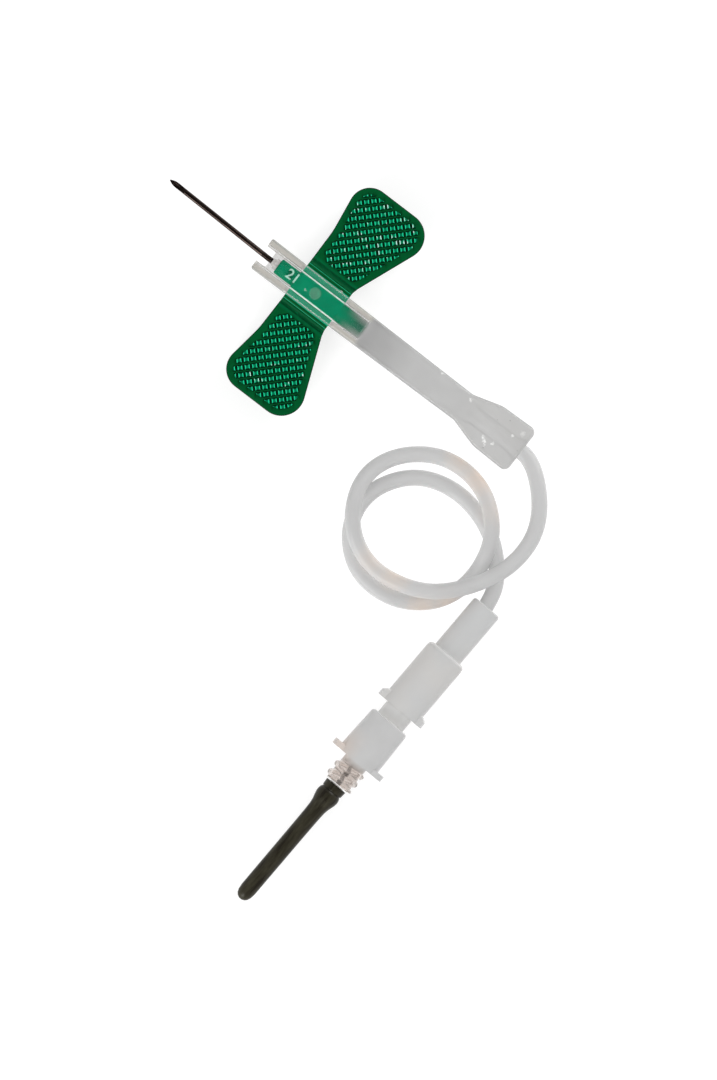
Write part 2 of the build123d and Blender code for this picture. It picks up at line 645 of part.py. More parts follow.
def rubber_sleeve():
    """Closed rubber sleeve: collar, groove and bulb on the nose, then a long soft finger."""
    collar = SLEEVE_COLLAR_DIAMETER / 2
    groove = SLEEVE_GROOVE_DIAMETER / 2
    bulb = SLEEVE_BULB_DIAMETER / 2
    finger = SLEEVE_DIAMETER / 2
    bore = SLEEVE_BORE / 2
    seat = NOSE_DIAMETER / 2 + GLUE_GAP
    collar_end = SLEEVE_S + SLEEVE_COLLAR_LENGTH
    seat_end = NOSE_END_S + SLEEVE_SEAT_GAP
    end = SLEEVE_S + SLEEVE_LENGTH
    bore_end = end - SLEEVE_END_WALL
    finger_start = seat_end + 2.4
    body = turned([
        (SLEEVE_S, seat),
        (SLEEVE_S, collar),
        (collar_end, collar),
        (collar_end + 0.1, groove),
        (collar_end + 0.5, bulb - 0.06),
        (collar_end + 0.9, bulb),
        (seat_end - 0.4, bulb - 0.08),
        (seat_end + 0.5, (bulb + finger) / 2 + 0.05),
        (finger_start, finger + 0.06),
        (end - finger, finger),
        (end - finger * 0.5, finger * 0.87),
        (end - finger * 0.13, finger * 0.5),
        (end, 0),
        (bore_end, 0),
        (bore_end - bore, bore),
        (seat_end + 1.2, bore),
        (seat_end, seat),
    ])
    return on_connector_axis(body)


def build_all():
    wing = left_wing()
    return {
        "cannula": cannula(),
        "cannula_adhesive": cannula_adhesive(),
        "hub_tube": hub_tube(),
        "wing_collar": wing_collar(),
        "left_wing": wing,
        "right_wing": mirror(wing, about=Plane.XZ),
        "guard": guard(),
        "tubing": tubing(),
        "female_luer": female_luer(),
        "luer_adapter": luer_adapter(),
        "rear_cannula": rear_cannula(),
        "rear_adhesive": rear_adhesive(),
        "rubber_sleeve": rubber_sleeve(),
    }


os.makedirs("parts", exist_ok=True)
for name, solid in build_all().items():
    export_step(solid, f"parts/{name}.step")
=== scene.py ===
"""Looks of a winged blood collection needle: sliding guard, limp tubing, luer connector and holder adapter.

Everything is in metres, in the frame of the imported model: X runs forward along the needle, Y towards its left
wing, Z up from the table that the set lies on.
"""
import json
import logging
import math
from dataclasses import dataclass
from enum import Enum

import bmesh
import bpy
from mathutils import Matrix, Vector


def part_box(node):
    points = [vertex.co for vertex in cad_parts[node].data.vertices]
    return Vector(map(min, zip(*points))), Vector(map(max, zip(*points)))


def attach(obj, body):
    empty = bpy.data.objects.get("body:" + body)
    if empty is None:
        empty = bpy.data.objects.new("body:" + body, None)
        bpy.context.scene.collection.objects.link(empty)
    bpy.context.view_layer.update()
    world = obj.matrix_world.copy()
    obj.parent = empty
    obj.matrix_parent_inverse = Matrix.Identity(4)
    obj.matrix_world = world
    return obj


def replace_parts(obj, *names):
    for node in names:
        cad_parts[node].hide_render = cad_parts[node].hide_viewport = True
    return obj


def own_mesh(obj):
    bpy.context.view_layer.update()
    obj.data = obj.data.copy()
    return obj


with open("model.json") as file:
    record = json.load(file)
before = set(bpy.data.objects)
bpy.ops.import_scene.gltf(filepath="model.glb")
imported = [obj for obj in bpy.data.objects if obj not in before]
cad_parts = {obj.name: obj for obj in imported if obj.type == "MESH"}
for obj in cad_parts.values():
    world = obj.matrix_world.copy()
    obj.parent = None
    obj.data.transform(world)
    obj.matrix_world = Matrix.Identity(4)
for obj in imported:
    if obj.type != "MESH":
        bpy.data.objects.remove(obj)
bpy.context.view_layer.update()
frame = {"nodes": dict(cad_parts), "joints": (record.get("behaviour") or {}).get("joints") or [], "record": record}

LOG = logging.getLogger("butterfly_needle")
MM = 0.001
WELD = 0.0005 * MM
NODE_WELD = 0.0002 * MM
SLEEVE_SEAT_GAP = 0.15 * MM
X_AXIS = Vector((1.0, 0.0, 0.0))
Y_AXIS = Vector((0.0, 1.0, 0.0))
Z_AXIS = Vector((0.0, 0.0, 1.0))
JOINTS = {joint["name"]: joint for joint in frame["joints"]}
MOUNTS = {mount["name"]: mount for mount in frame["record"]["mounts"]}
Colour = tuple[float, float, float]
Range = tuple[float, float]
Socket = bpy.types.NodeSocket
Material = bpy.types.Material
Piece = bpy.types.Object


class Body(Enum):
    """Bodies of the frame that the pieces ride on."""

    HUB = "needle_hub"
    GUARD = "sliding_guard"
    LEFT_WING = "left_wing_blade"
    RIGHT_WING = "right_wing_blade"
    ADAPTER = "adapter"
    SLEEVE = "sleeve"


class Slot(Enum):
    """Material slots of the record."""

    STEEL = "needle_steel"
    ADHESIVE = "cured_adhesive"
    HUB = "clear_hub"
    GREEN = "green_pvc"
    GUARD = "milky_guard"
    TUBE = "clear_tube"
    LUER = "milky_luer"
    ADAPTER = "clear_adapter"
    RUBBER = "black_rubber"


@dataclass(frozen=True)
class Mark:
    """Small round mark in a surface, such as a bubble or a moulding gate."""

    place: tuple[float, float, float]
    radius: float
    depth: float = 1.0
    core: float = 0.2


TUBE_WARM_ZONES = (
    Mark((-0.0256, 0.0053, 0.003), 3.4 * MM, 0.8),
    Mark((-0.0298, 0.0062, 0.003), 3.7 * MM, 1.0),
    Mark((-0.0342, 0.0088, 0.003), 3.4 * MM, 0.6),
    Mark((-0.0243, 0.0246, 0.003), 3.2 * MM, 0.6),
    Mark((-0.0280, 0.0248, 0.003), 3.2 * MM, 0.7),
    Mark((-0.0345, 0.0268, 0.002), 3.4 * MM, 0.8),
    Mark((-0.0370, 0.0240, 0.002), 3.2 * MM, 0.8),
)


def lit(colour: Colour, factor: float) -> Colour:
    """Gives a colour made lighter or darker by a factor."""
    return tuple(channel * factor for channel in colour)


def grey(level: float) -> Colour:
    """Gives a neutral colour."""
    return (level, level, level)


def turn_onto_x(axis: Vector) -> float:
    """Gives the angle about Z that turns a level axis on to X, in radians."""
    return -math.atan2(axis.y, axis.x)


class Board:
    """Node tree of one material, with short calls that add and join its nodes."""

    noise_roughness = 0.55
    warp_roughness = 0.6
    warp_detail = 2.0
    wobble_size = 0.35 * MM
    even_noise: Range = (0.3, 0.7)

    def __init__(self, name: str) -> None:
        """Starts a material that holds one principled shader.

        Args:
            name: Name of the material.
        """
        self.material = bpy.data.materials.new(name)
        self.material.use_nodes = True
        self.tree = self.material.node_tree
        self.shader = self.tree.nodes["Principled BSDF"]

    def join(self, source: Socket, target: Socket) -> None:
        """Links an output to an input."""
        self.tree.links.new(source, target)

    def node(self, kind: str, **inputs: object) -> bpy.types.Node:
        """Adds a node.

        Args:
            kind: Blender's type name of the node.
            inputs: Values for its inputs, by name.

        Returns:
            The new node.
        """
        made = self.tree.nodes.new(kind)
        for name, value in inputs.items():
            made.inputs[name].default_value = value
        return made

    def feed(self, **sources: Socket) -> None:
        """Links outputs to inputs of the shader, with underscores for the spaces in their names."""
        for name, source in sources.items():
            self.join(source, self.shader.inputs[name.replace("_", " ")])

    def set(self, **values: object) -> None:
        """Sets inputs of the shader, with underscores for the spaces in their names."""
        for name, value in values.items():
            self.shader.inputs[name.replace("_", " ")].default_value = value

    def maths(self, kind: str, first: Socket, second: object = None) -> Socket:
        """Works out one step of arithmetic.

        Args:
            kind: Blender's name of the operation.
            first: First value.
            second: Second value, as a socket or a number, where the operation takes one.

        Returns:
            The result.
        """
        made = self.node("ShaderNodeMath")
        made.operation = kind
        self.join(first, made.inputs[0])
        if isinstance(second, Socket):
            self.join(second, made.inputs[1])
        elif second is not None:
            made.inputs[1].default_value = second
        return made.outputs[0]

    def vector_maths(self, kind: str, first: Socket, second: object) -> bpy.types.Node:
        """Works out one step of arithmetic on vectors.

        Args:
            kind: Blender's name of the operation.
            first: Vector output.
            second: Fixed vector.

        Returns:
            The node, which holds the result.
        """
        made = self.node("ShaderNodeVectorMath")
        made.operation = kind
        made.inputs[1].default_value = second
        self.join(first, made.inputs[0])
        return made

    def times(self, first: Socket, *others: Socket) -> Socket:
        """Multiplies values together.

        Args:
            first: First value.
            others: The other values.

        Returns:
            Their product.
        """
        for other in others:
            first = self.maths("MULTIPLY", first, other)
        return first

    def larger(self, first: Socket, second: Socket) -> Socket:
        """Gives the larger of two values."""
        return self.maths("MAXIMUM", first, second)

    def span(self, value: Socket, low: float, high: float, start: float, end: float) -> Socket:
        """Maps a value from one range on to another, and holds it at the ends.

        Args:
            value: Value to map.
            low: Value up to which the result is start.
            high: Value from which the result is end.
            start: First end of the new range.
            end: Second end of the new range.

        Returns:
            The result.
        """
        made = self.node("ShaderNodeMapRange")
        for name, number in (("From Min", low), ("From Max", high), ("To Min", start), ("To Max", end)):
            made.inputs[name].default_value = number
        self.join(value, made.inputs["Value"])
        return made.outputs["Result"]

    def rises(self, value: Socket, low: float, high: float) -> Socket:
        """Gives 0 below a range, 1 above it and an even rise within it."""
        return self.span(value, low, high, 0.0, 1.0)

    def falls(self, value: Socket, low: float, high: float) -> Socket:
        """Gives 1 below a range, 0 above it and an even fall within it."""
        return self.span(value, low, high, 1.0, 0.0)

    def without(self, mask: Socket) -> Socket:
        """Gives what a mask from 0 to 1 leaves out."""
        return self.falls(mask, 0.0, 1.0)

    def weakened(self, value: Socket, mask: Socket, share: float) -> Socket:
        """Gives a value of which only a share is left where a mask is 1."""
        return self.times(value, self.span(mask, 0.0, 1.0, 1.0, share))

    def mix(self, factor: Socket, first: object, second: object) -> Socket:
        """Mixes two colours.

        Args:
            factor: How much of the second shows.
            first: Colour or colour output.
            second: Colour or colour output.

        Returns:
            The mixed colour.
        """
        made = self.node("ShaderNodeMix")
        made.data_type = "RGBA"
        self.join(factor, made.inputs[0])
        for socket, value in ((made.inputs[6], first), (made.inputs[7], second)):
            if isinstance(value, Socket):
                self.join(value, socket)
            else:
                socket.default_value = (*value, 1.0)
        return made.outputs[2]

    def ramp(self, factor: Socket, *stops: tuple[float, Colour]) -> Socket:
        """Maps a factor to colours.

        Args:
            factor: Value from 0 to 1.
            stops: Positions and their colours, in rising order.

        Returns:
            The colour output.
        """
        made = self.node("ShaderNodeValToRGB")
        for element, (position, colour) in zip(made.color_ramp.elements, stops, strict=True):
            element.position = position
            element.color = (*colour, 1.0)
        self.join(factor, made.inputs["Fac"])
        return made.outputs["Color"]

    def coordinates(self) -> Socket:
        """Gives object coordinates."""
        return self.node("ShaderNodeTexCoord").outputs["Object"]

    def place(self, stretch: tuple[float, float, float] = (1.0, 1.0, 1.0), turn: float = 0.0) -> Socket:
        """Gives object coordinates, turned about Z and then stretched.

        Args:
            stretch: Factor on each axis.
            turn: Angle about Z, in radians.

        Returns:
            The coordinate output.
        """
        turned = self.node("ShaderNodeMapping", Rotation=(0.0, 0.0, turn))
        self.join(self.coordinates(), turned.inputs["Vector"])
        stretched = self.node("ShaderNodeMapping", Scale=stretch)
        self.join(turned.outputs["Vector"], stretched.inputs["Vector"])
        return stretched.outputs["Vector"]

    def noise(self, where: Socket, size: float, detail: float) -> Socket:
        """Adds a noise pattern.

        Args:
            where: Coordinates that it follows.
            size: Width of its patches, in metres.
            detail: Octaves of finer noise.

        Returns:
            Its factor output.
        """
        made = self.node("ShaderNodeTexNoise", Scale=1.0 / size, Detail=detail,
                         Roughness=self.noise_roughness)
        self.join(where, made.inputs["Vector"])
        return made.outputs["Fac"]

    def height(self) -> Socket:
        """Gives the height above the table.

        Returns:
            The height, in metres.
        """
        parts = self.node("ShaderNodeSeparateXYZ")
        self.join(self.coordinates(), parts.inputs["Vector"])
        return parts.outputs["Z"]

    def along(self, start: Vector, axis: Vector) -> Socket:
        """Gives the distance past a point, measured along an axis, in metres."""
        offset = self.vector_maths("SUBTRACT", self.coordinates(), start)
        return self.vector_maths("DOT_PRODUCT", offset.outputs["Vector"], axis).outputs["Value"]

    def forward(self) -> Socket:
        """Gives the distance forward of the frame's origin, in metres."""
        return self.along(Vector(), X_AXIS)

    def aside(self) -> Socket:
        """Gives the distance from the set's middle plane, in metres."""
        return self.maths("ABSOLUTE", self.along(Vector(), Y_AXIS))

    def leaning(self, axis: Vector) -> Socket:
        """Gives how far the surface faces along an axis, from -1 to 1."""
        normal = self.node("ShaderNodeTexCoord").outputs["Normal"]
        return self.vector_maths("DOT_PRODUCT", normal, axis).outputs["Value"]

    def steepness(self, axis: Vector) -> Socket:
        """Gives how far the surface faces either way along an axis, from 0 to 1."""
        return self.maths("ABSOLUTE", self.leaning(axis))

    def warped(self, amount: float) -> Socket:
        """Gives object coordinates pushed about by noise.

        Args:
            amount: Greatest push, in metres.

        Returns:
            The coordinate output.
        """
        source = self.coordinates()
        wave = self.node("ShaderNodeTexNoise", Scale=1.0 / self.wobble_size, Detail=self.warp_detail,
                         Roughness=self.warp_roughness)
        self.join(source, wave.inputs["Vector"])
        centred = self.vector_maths("SUBTRACT", wave.outputs["Color"], (0.5, 0.5, 0.5))
        pushed = self.vector_maths("MULTIPLY_ADD", centred.outputs["Vector"], grey(2 * amount))
        self.join(source, pushed.inputs[2])
        return pushed.outputs["Vector"]

    def spots(self, marks: tuple[Mark, ...], wobble: float = 0.0) -> Socket:
        """Gives 1 on small marks and 0 around them.

        Args:
            marks: Places and sizes of the marks.
            wobble: How far their outlines stray from round, in metres.

        Returns:
            The mask.
        """
        where = self.warped(wobble)
        mask = None
        for mark in marks:
            away = self.vector_maths("DISTANCE", where, mark.place).outputs["Value"]
            spot = self.span(away, mark.radius * mark.core, mark.radius, mark.depth, 0.0)
            mask = spot if mask is None else self.larger(mask, spot)
        return mask

    def polish(self, pattern: Socket, low: float, high: float) -> None:
        """Varies the shader's roughness between two values with a noise pattern."""
        self.feed(Roughness=self.span(pattern, *self.even_noise, low, high))

    def bump(self, relief: Socket, depth: float) -> None:
        """Roughens the shader's surface.

        Args:
            relief: Height from 0 to 1.
            depth: Depth of the relief, in metres.
        """
        made = self.node("ShaderNodeBump", Strength=1.0, Distance=depth)
        self.join(relief, made.inputs["Height"])
        self.feed(Normal=made.outputs["Normal"])

    def pass_lamps(self, tint: Colour) -> None:
        """Lets the lamps shine through the shader, so that what lies behind it is lit.

        Args:
            tint: Colour of the light that passes.
        """
        paths = self.node("ShaderNodeLightPath")
        clear = self.node("ShaderNodeBsdfTransparent", Color=(*tint, 1.0))
        self.finish(self.either(paths.outputs["Is Shadow Ray"], self.shader.outputs[0], clear.outputs[0]))

    def either(self, factor: Socket, first: Socket, second: Socket) -> Socket:
        """Shows one of two shaders.

        Args:
            factor: How much of the second shows.
            first: First shader.
            second: Second shader.

        Returns:
            The mixed shader.
        """
        pick = self.node("ShaderNodeMixShader")
        for position, source in enumerate((factor, first, second)):
            self.join(source, pick.inputs[position])
        return pick.outputs[0]

    def finish(self, surface: Socket) -> None:
        """Makes a shader the material's surface."""
        self.join(surface, self.tree.nodes["Material Output"].inputs["Surface"])


@dataclass(frozen=True)
class MilkyPlastic:
    """Translucent moulded plastic: two tints in soft clouds or in warm zones, and faint flow marks."""

    name: str
    cool: Colour
    warm: Colour
    clarity: float
    roughness: float
    shade: float = 0.6
    cloud: float = 9 * MM
    cloud_start: float = 0.38
    cloud_end: float = 0.66
    grain: float = 1.6 * MM
    refraction: float = 1.4
    smoother: float = 0.03
    rougher: float = 0.05
    warm_zones: tuple[Mark, ...] = ()
    zone_wobble: float = 1.0 * MM

    def material(self) -> Material:
        """Makes the material.

        Returns:
            The material.
        """
        board = Board(self.name)
        where = board.place()
        clouds = board.noise(where, self.cloud, detail=2.0)
        if self.warm_zones:
            uneven = board.span(clouds, 0.3, 0.6, 0.7, 1.0)
            clouds = board.times(board.spots(self.warm_zones, self.zone_wobble), uneven)
        tint = board.ramp(clouds, (self.cloud_start, self.cool), (self.cloud_end, self.warm))
        board.feed(Base_Color=tint)
        flow = board.noise(where, self.grain, detail=1.0)
        board.polish(flow, self.roughness - self.smoother, self.roughness + self.rougher)
        board.set(IOR=self.refraction, Transmission_Weight=self.clarity)
        board.pass_lamps(grey(self.shade))
        return board.material


@dataclass(frozen=True)
class GuardPlastic:
    """Outside of the guard: clear over the collar, grey in its solid ends, milky towards its tail.

    Bubbles and specks lie in the tail, and a frosted gate mark on the top. Ranges run along X, or away from
    the middle plane.
    """

    name: str
    front_tint: Colour = (0.66, 0.65, 0.64)
    near_tint: Colour = (0.39, 0.388, 0.386)
    back_tint: Colour = (0.535, 0.533, 0.53)
    flare_tint: Colour = (0.585, 0.582, 0.575)
    cloud_tint: Colour = grey(0.68)
    bubble_tint: Colour = (0.95, 0.95, 0.94)
    speck_tint: Colour = grey(0.2)
    solid_tint: Colour = (0.535, 0.515, 0.475)
    rim_tint: Colour = (0.38, 0.375, 0.35)
    wall_tint: Colour = (0.34, 0.34, 0.335)
    clearing: Range = (-3.8 * MM, -3.0 * MM)
    darkening: Range = (-12.0 * MM, -4.5 * MM)
    flaring: Range = (-24.0 * MM, -17.0 * MM)
    ahead_of_roots: Range = (8.6 * MM, 9.3 * MM)
    behind_roots: Range = (0.4 * MM, 1.1 * MM)
    sides: Range = (1.6 * MM, 1.75 * MM)
    rims: Range = (2.2 * MM, 2.35 * MM)
    rims_rear: Range = (-19.0 * MM, -17.0 * MM)
    wall_lean: Range = (0.5, 0.9)
    wall_fade: Range = (0.0, 0.6)
    back_clarity: float = 0.3
    roots_clarity: float = 0.95
    solid_clarity: float = 0.15
    solid_strength: float = 1.6
    rim_clarity: float = 0.72
    dark_rim_clarity: float = 0.15
    wall_clarity: float = 0.2
    bubble_clarity: float = 0.25
    gate_clarity: float = 0.88
    cloud: float = 7.0 * MM
    cloud_range: Range = (0.35, 0.65)
    cloud_share: float = 0.25
    grain: float = 1.6 * MM
    gloss: Range = (0.09, 0.15)
    refraction: float = 1.28
    lamp_tint: Colour = grey(0.95)
    bubble_wobble: float = 0.45 * MM
    speck_wobble: float = 0.1 * MM
    gate: tuple[Mark, ...] = (Mark((0.0053, 0.0, 0.00474), 0.95 * MM, core=0.8),)
    bubbles: tuple[Mark, ...] = (
        Mark((-0.0215, -0.0014, 0.0048), 0.34 * MM, 0.8),
        Mark((-0.0262, 0.0018, 0.0048), 0.42 * MM),
        Mark((-0.0266, 0.0021, 0.0048), 0.4 * MM),
        Mark((-0.0270, 0.0025, 0.0048), 0.26 * MM, 0.8),
        Mark((-0.0278, 0.0016, 0.0048), 0.32 * MM, 0.8),
        Mark((-0.0294, -0.0010, 0.0048), 0.22 * MM, 0.9),
        Mark((-0.0304, -0.0021, 0.0048), 0.5 * MM, 0.4),
        Mark((-0.0160, -0.0021, 0.0048), 0.3 * MM, 0.6),
        Mark((0.00675, 0.00036, 0.0048), 0.2 * MM),
    )
    specks: tuple[Mark, ...] = (
        Mark((-0.0271, 0.0029, 0.0048), 0.14 * MM, 0.8),
        Mark((-0.0263, -0.0015, 0.0048), 0.12 * MM, 0.5),
        Mark((-0.0278, -0.0025, 0.0048), 0.14 * MM, 0.6),
        Mark((-0.0312, 0.0003, 0.0048), 0.12 * MM, 0.5),
    )

    def material(self) -> Material:
        """Makes the material.

        Returns:
            The material.
        """
        board = Board(self.name)
        forward = board.forward()
        aside = board.aside()
        front = board.rises(forward, *self.clearing)
        bubble = board.spots(self.bubbles, self.bubble_wobble)
        off_roots = board.larger(
            board.rises(forward, *self.ahead_of_roots),
            board.falls(forward, *self.behind_roots),
        )
        side_clear = board.span(off_roots, 0.0, 1.0, self.roots_clarity, self.solid_clarity)
        milk = board.times(board.rises(aside, *self.sides), front, board.without(side_clear))
        rim = board.times(board.rises(aside, *self.rims), board.rises(forward, *self.rims_rear))
        dark_rim = board.times(rim, off_roots)
        wall = board.times(
            board.rises(board.steepness(Y_AXIS), *self.wall_lean),
            board.falls(front, *self.wall_fade),
        )

        tint = board.mix(board.rises(forward, *self.darkening), self.back_tint, self.near_tint)
        tint = board.mix(board.rises(forward, *self.flaring), self.flare_tint, tint)
        tint = board.mix(front, tint, self.front_tint)
        clouds = board.noise(board.place(), self.cloud, detail=2.0)
        for mask, colour in (
            (board.span(clouds, *self.cloud_range, 0.0, self.cloud_share), self.cloud_tint),
            (bubble, self.bubble_tint),
            (board.spots(self.specks, self.speck_wobble), self.speck_tint),
            (board.maths("MULTIPLY", milk, self.solid_strength), self.solid_tint),
            (dark_rim, self.rim_tint),
            (wall, self.wall_tint),
        ):
            tint = board.mix(mask, tint, colour)

        clear = board.times(board.span(front, 0.0, 1.0, self.back_clarity, 1.0), board.without(milk))
        for mask, share in (
            (rim, self.rim_clarity),
            (dark_rim, self.dark_rim_clarity),
            (wall, self.wall_clarity),
            (bubble, self.bubble_clarity),
            (board.spots(self.gate), self.gate_clarity),
        ):
            clear = board.weakened(clear, mask, share)

        board.feed(Base_Color=tint, Transmission_Weight=clear)
        board.polish(board.noise(board.place(), self.grain, detail=1.0), *self.gloss)
        board.set(IOR=self.refraction)
        board.pass_lamps(self.lamp_tint)
        return board.material


@dataclass(frozen=True)
class ChannelPlastic:
    """Inside of the guard: clear walls, and a pale painted highlight along each upper corner of the channel."""

    name: str
    tint: Colour = grey(0.97)
    highlight_inside: Range = (1.44 * MM, 1.47 * MM)
    highlight_outside: Range = (1.6 * MM, 1.63 * MM)
    highlight_height: Range = (3.5 * MM, 3.6 * MM)
    highlight_rear: Range = (-1.5 * MM, 0.5 * MM)
    highlight_clarity: float = 0.2
    roughness: float = 0.08
    refraction: float = 1.2

    def material(self) -> Material:
        """Makes the material.

        Returns:
            The material.
        """
        board = Board(self.name)
        aside = board.aside()
        # Painted highlight: a pale, less clear line along each upper corner of the channel.
        line = board.times(
            board.rises(aside, *self.highlight_inside),
            board.falls(aside, *self.highlight_outside),
            board.rises(board.height(), *self.highlight_height),
            board.rises(board.forward(), *self.highlight_rear),
        )
        board.feed(Transmission_Weight=board.span(line, 0.0, 1.0, 1.0, self.highlight_clarity))
        board.set(Base_Color=(*self.tint, 1.0), Roughness=self.roughness, IOR=self.refraction)
        board.pass_lamps(grey(1.0))
        return board.material


@dataclass(frozen=True)
class HolderPlastic:
    """Plastic of the holder adapter: milky barrel, warm at one ear, paler neck and a clear warm spigot.

    Ranges run along the adapter's axis from the back of its flange, or sideways from that axis.
    """

    name: str
    flange_back: Vector
    axis: Vector
    barrel: Colour = grey(0.6)
    barrel_cloud: float = 1.06
    neck: Colour = (0.7, 0.7, 0.695)
    warm: Colour = (0.69, 0.62, 0.575)
    spigot: Colour = (0.78, 0.725, 0.69)
    cut_face: Colour = (0.95, 0.94, 0.93)
    neck_reach: Range = (-7.6 * MM, -7.5 * MM)
    warm_side: Range = (0.3 * MM, 2.6 * MM)
    warm_reach: Range = (-4.5 * MM, -0.8 * MM)
    spigot_reach: Range = (0.0, 1.2 * MM)
    cut_reach: Range = (4.1 * MM, 4.15 * MM)
    barrel_clarity: float = 0.15
    spigot_clarity: float = 0.85
    cut_clarity: float = 0.2
    cloud: float = 3.5 * MM
    grain: float = 1.6 * MM
    gloss: Range = (0.14, 0.22)
    refraction: float = 1.33
    lamp_tint: Colour = (0.7, 0.68, 0.66)

    def material(self) -> Material:
        """Makes the material.

        Returns:
            The material.
        """
        board = Board(self.name)
        past = board.along(self.flange_back, self.axis)
        aside = board.along(self.flange_back, Vector((self.axis.y, -self.axis.x, 0.0)))
        on_spigot = board.rises(past, *self.spigot_reach)
        on_cut = board.rises(past, *self.cut_reach)
        warm = board.times(board.rises(aside, *self.warm_side), board.rises(past, *self.warm_reach))
        clouds = board.noise(board.place(), self.cloud, detail=2.0)
        tint = board.ramp(clouds, (0.36, self.barrel), (0.68, lit(self.barrel, self.barrel_cloud)))
        for mask, colour in (
            (warm, self.warm),
            (board.falls(past, *self.neck_reach), self.neck),
            (on_spigot, self.spigot),
            (on_cut, self.cut_face),
        ):
            tint = board.mix(mask, tint, colour)
        clear = board.span(on_spigot, 0.0, 1.0, self.barrel_clarity, self.spigot_clarity)
        board.feed(Base_Color=tint, Transmission_Weight=board.weakened(clear, on_cut, self.cut_clarity))
        board.polish(board.noise(board.place(), self.grain, detail=1.0), *self.gloss)
        board.set(IOR=self.refraction)
        board.pass_lamps(self.lamp_tint)
        return board.material


@dataclass(frozen=True)
class GreenMoulding:
    """Flexible green moulding with a satin skin, with painted shade in its grooves."""

    name: str
    base: Colour = (0.0, 0.088, 0.022)
    # Colour of the painted shade where the surface is enclosed.
    painted_shade: Colour = (0.0, 0.0014, 0.00035)
    groove_reach: float = 0.7 * MM
    hollow: Range = (0.4, 0.85)
    mottle: float = 2.2 * MM
    mottle_dark: float = 0.86
    mottle_light: float = 1.14
    grain: float = 0.3 * MM
    relief: float = 0.006 * MM
    gloss: Range = (0.28, 0.4)
    refraction: float = 1.4
    specular: float = 0.05

    def material(self) -> Material:
        """Makes the material.

        Returns:
            The material.
        """
        board = Board(self.name)
        where = board.place()
        mottle = board.noise(where, self.mottle, detail=3.0)
        dark, light = lit(self.base, self.mottle_dark), lit(self.base, self.mottle_light)
        skin = board.ramp(mottle, (0.3, dark), (0.7, light))
        shade = board.node("ShaderNodeAmbientOcclusion", Distance=self.groove_reach)
        shade.samples = 8
        shade.only_local = True
        open_share = self.openness(board, shade.outputs["AO"])
        skin = self.dress(board, skin, open_share)
        # Painted shade: the skin darkens where ambient occlusion finds the surface enclosed, as in grooves.
        board.feed(Base_Color=board.mix(board.falls(open_share, *self.hollow), skin, self.painted_shade))
        fine = board.noise(where, self.grain, detail=3.0)
        board.polish(fine, *self.gloss)
        board.bump(fine, self.relief)
        board.set(IOR=self.refraction, Specular_IOR_Level=self.specular)
        return board.material

    def openness(self, board: Board, share: Socket) -> Socket:
        """Gives how open the surface is to what is around it, here as measured."""
        return share

    def dress(self, board: Board, skin: Socket, open_share: Socket) -> Socket:
        """Gives the skin's colour with what this piece adds to it, here nothing."""
        return skin


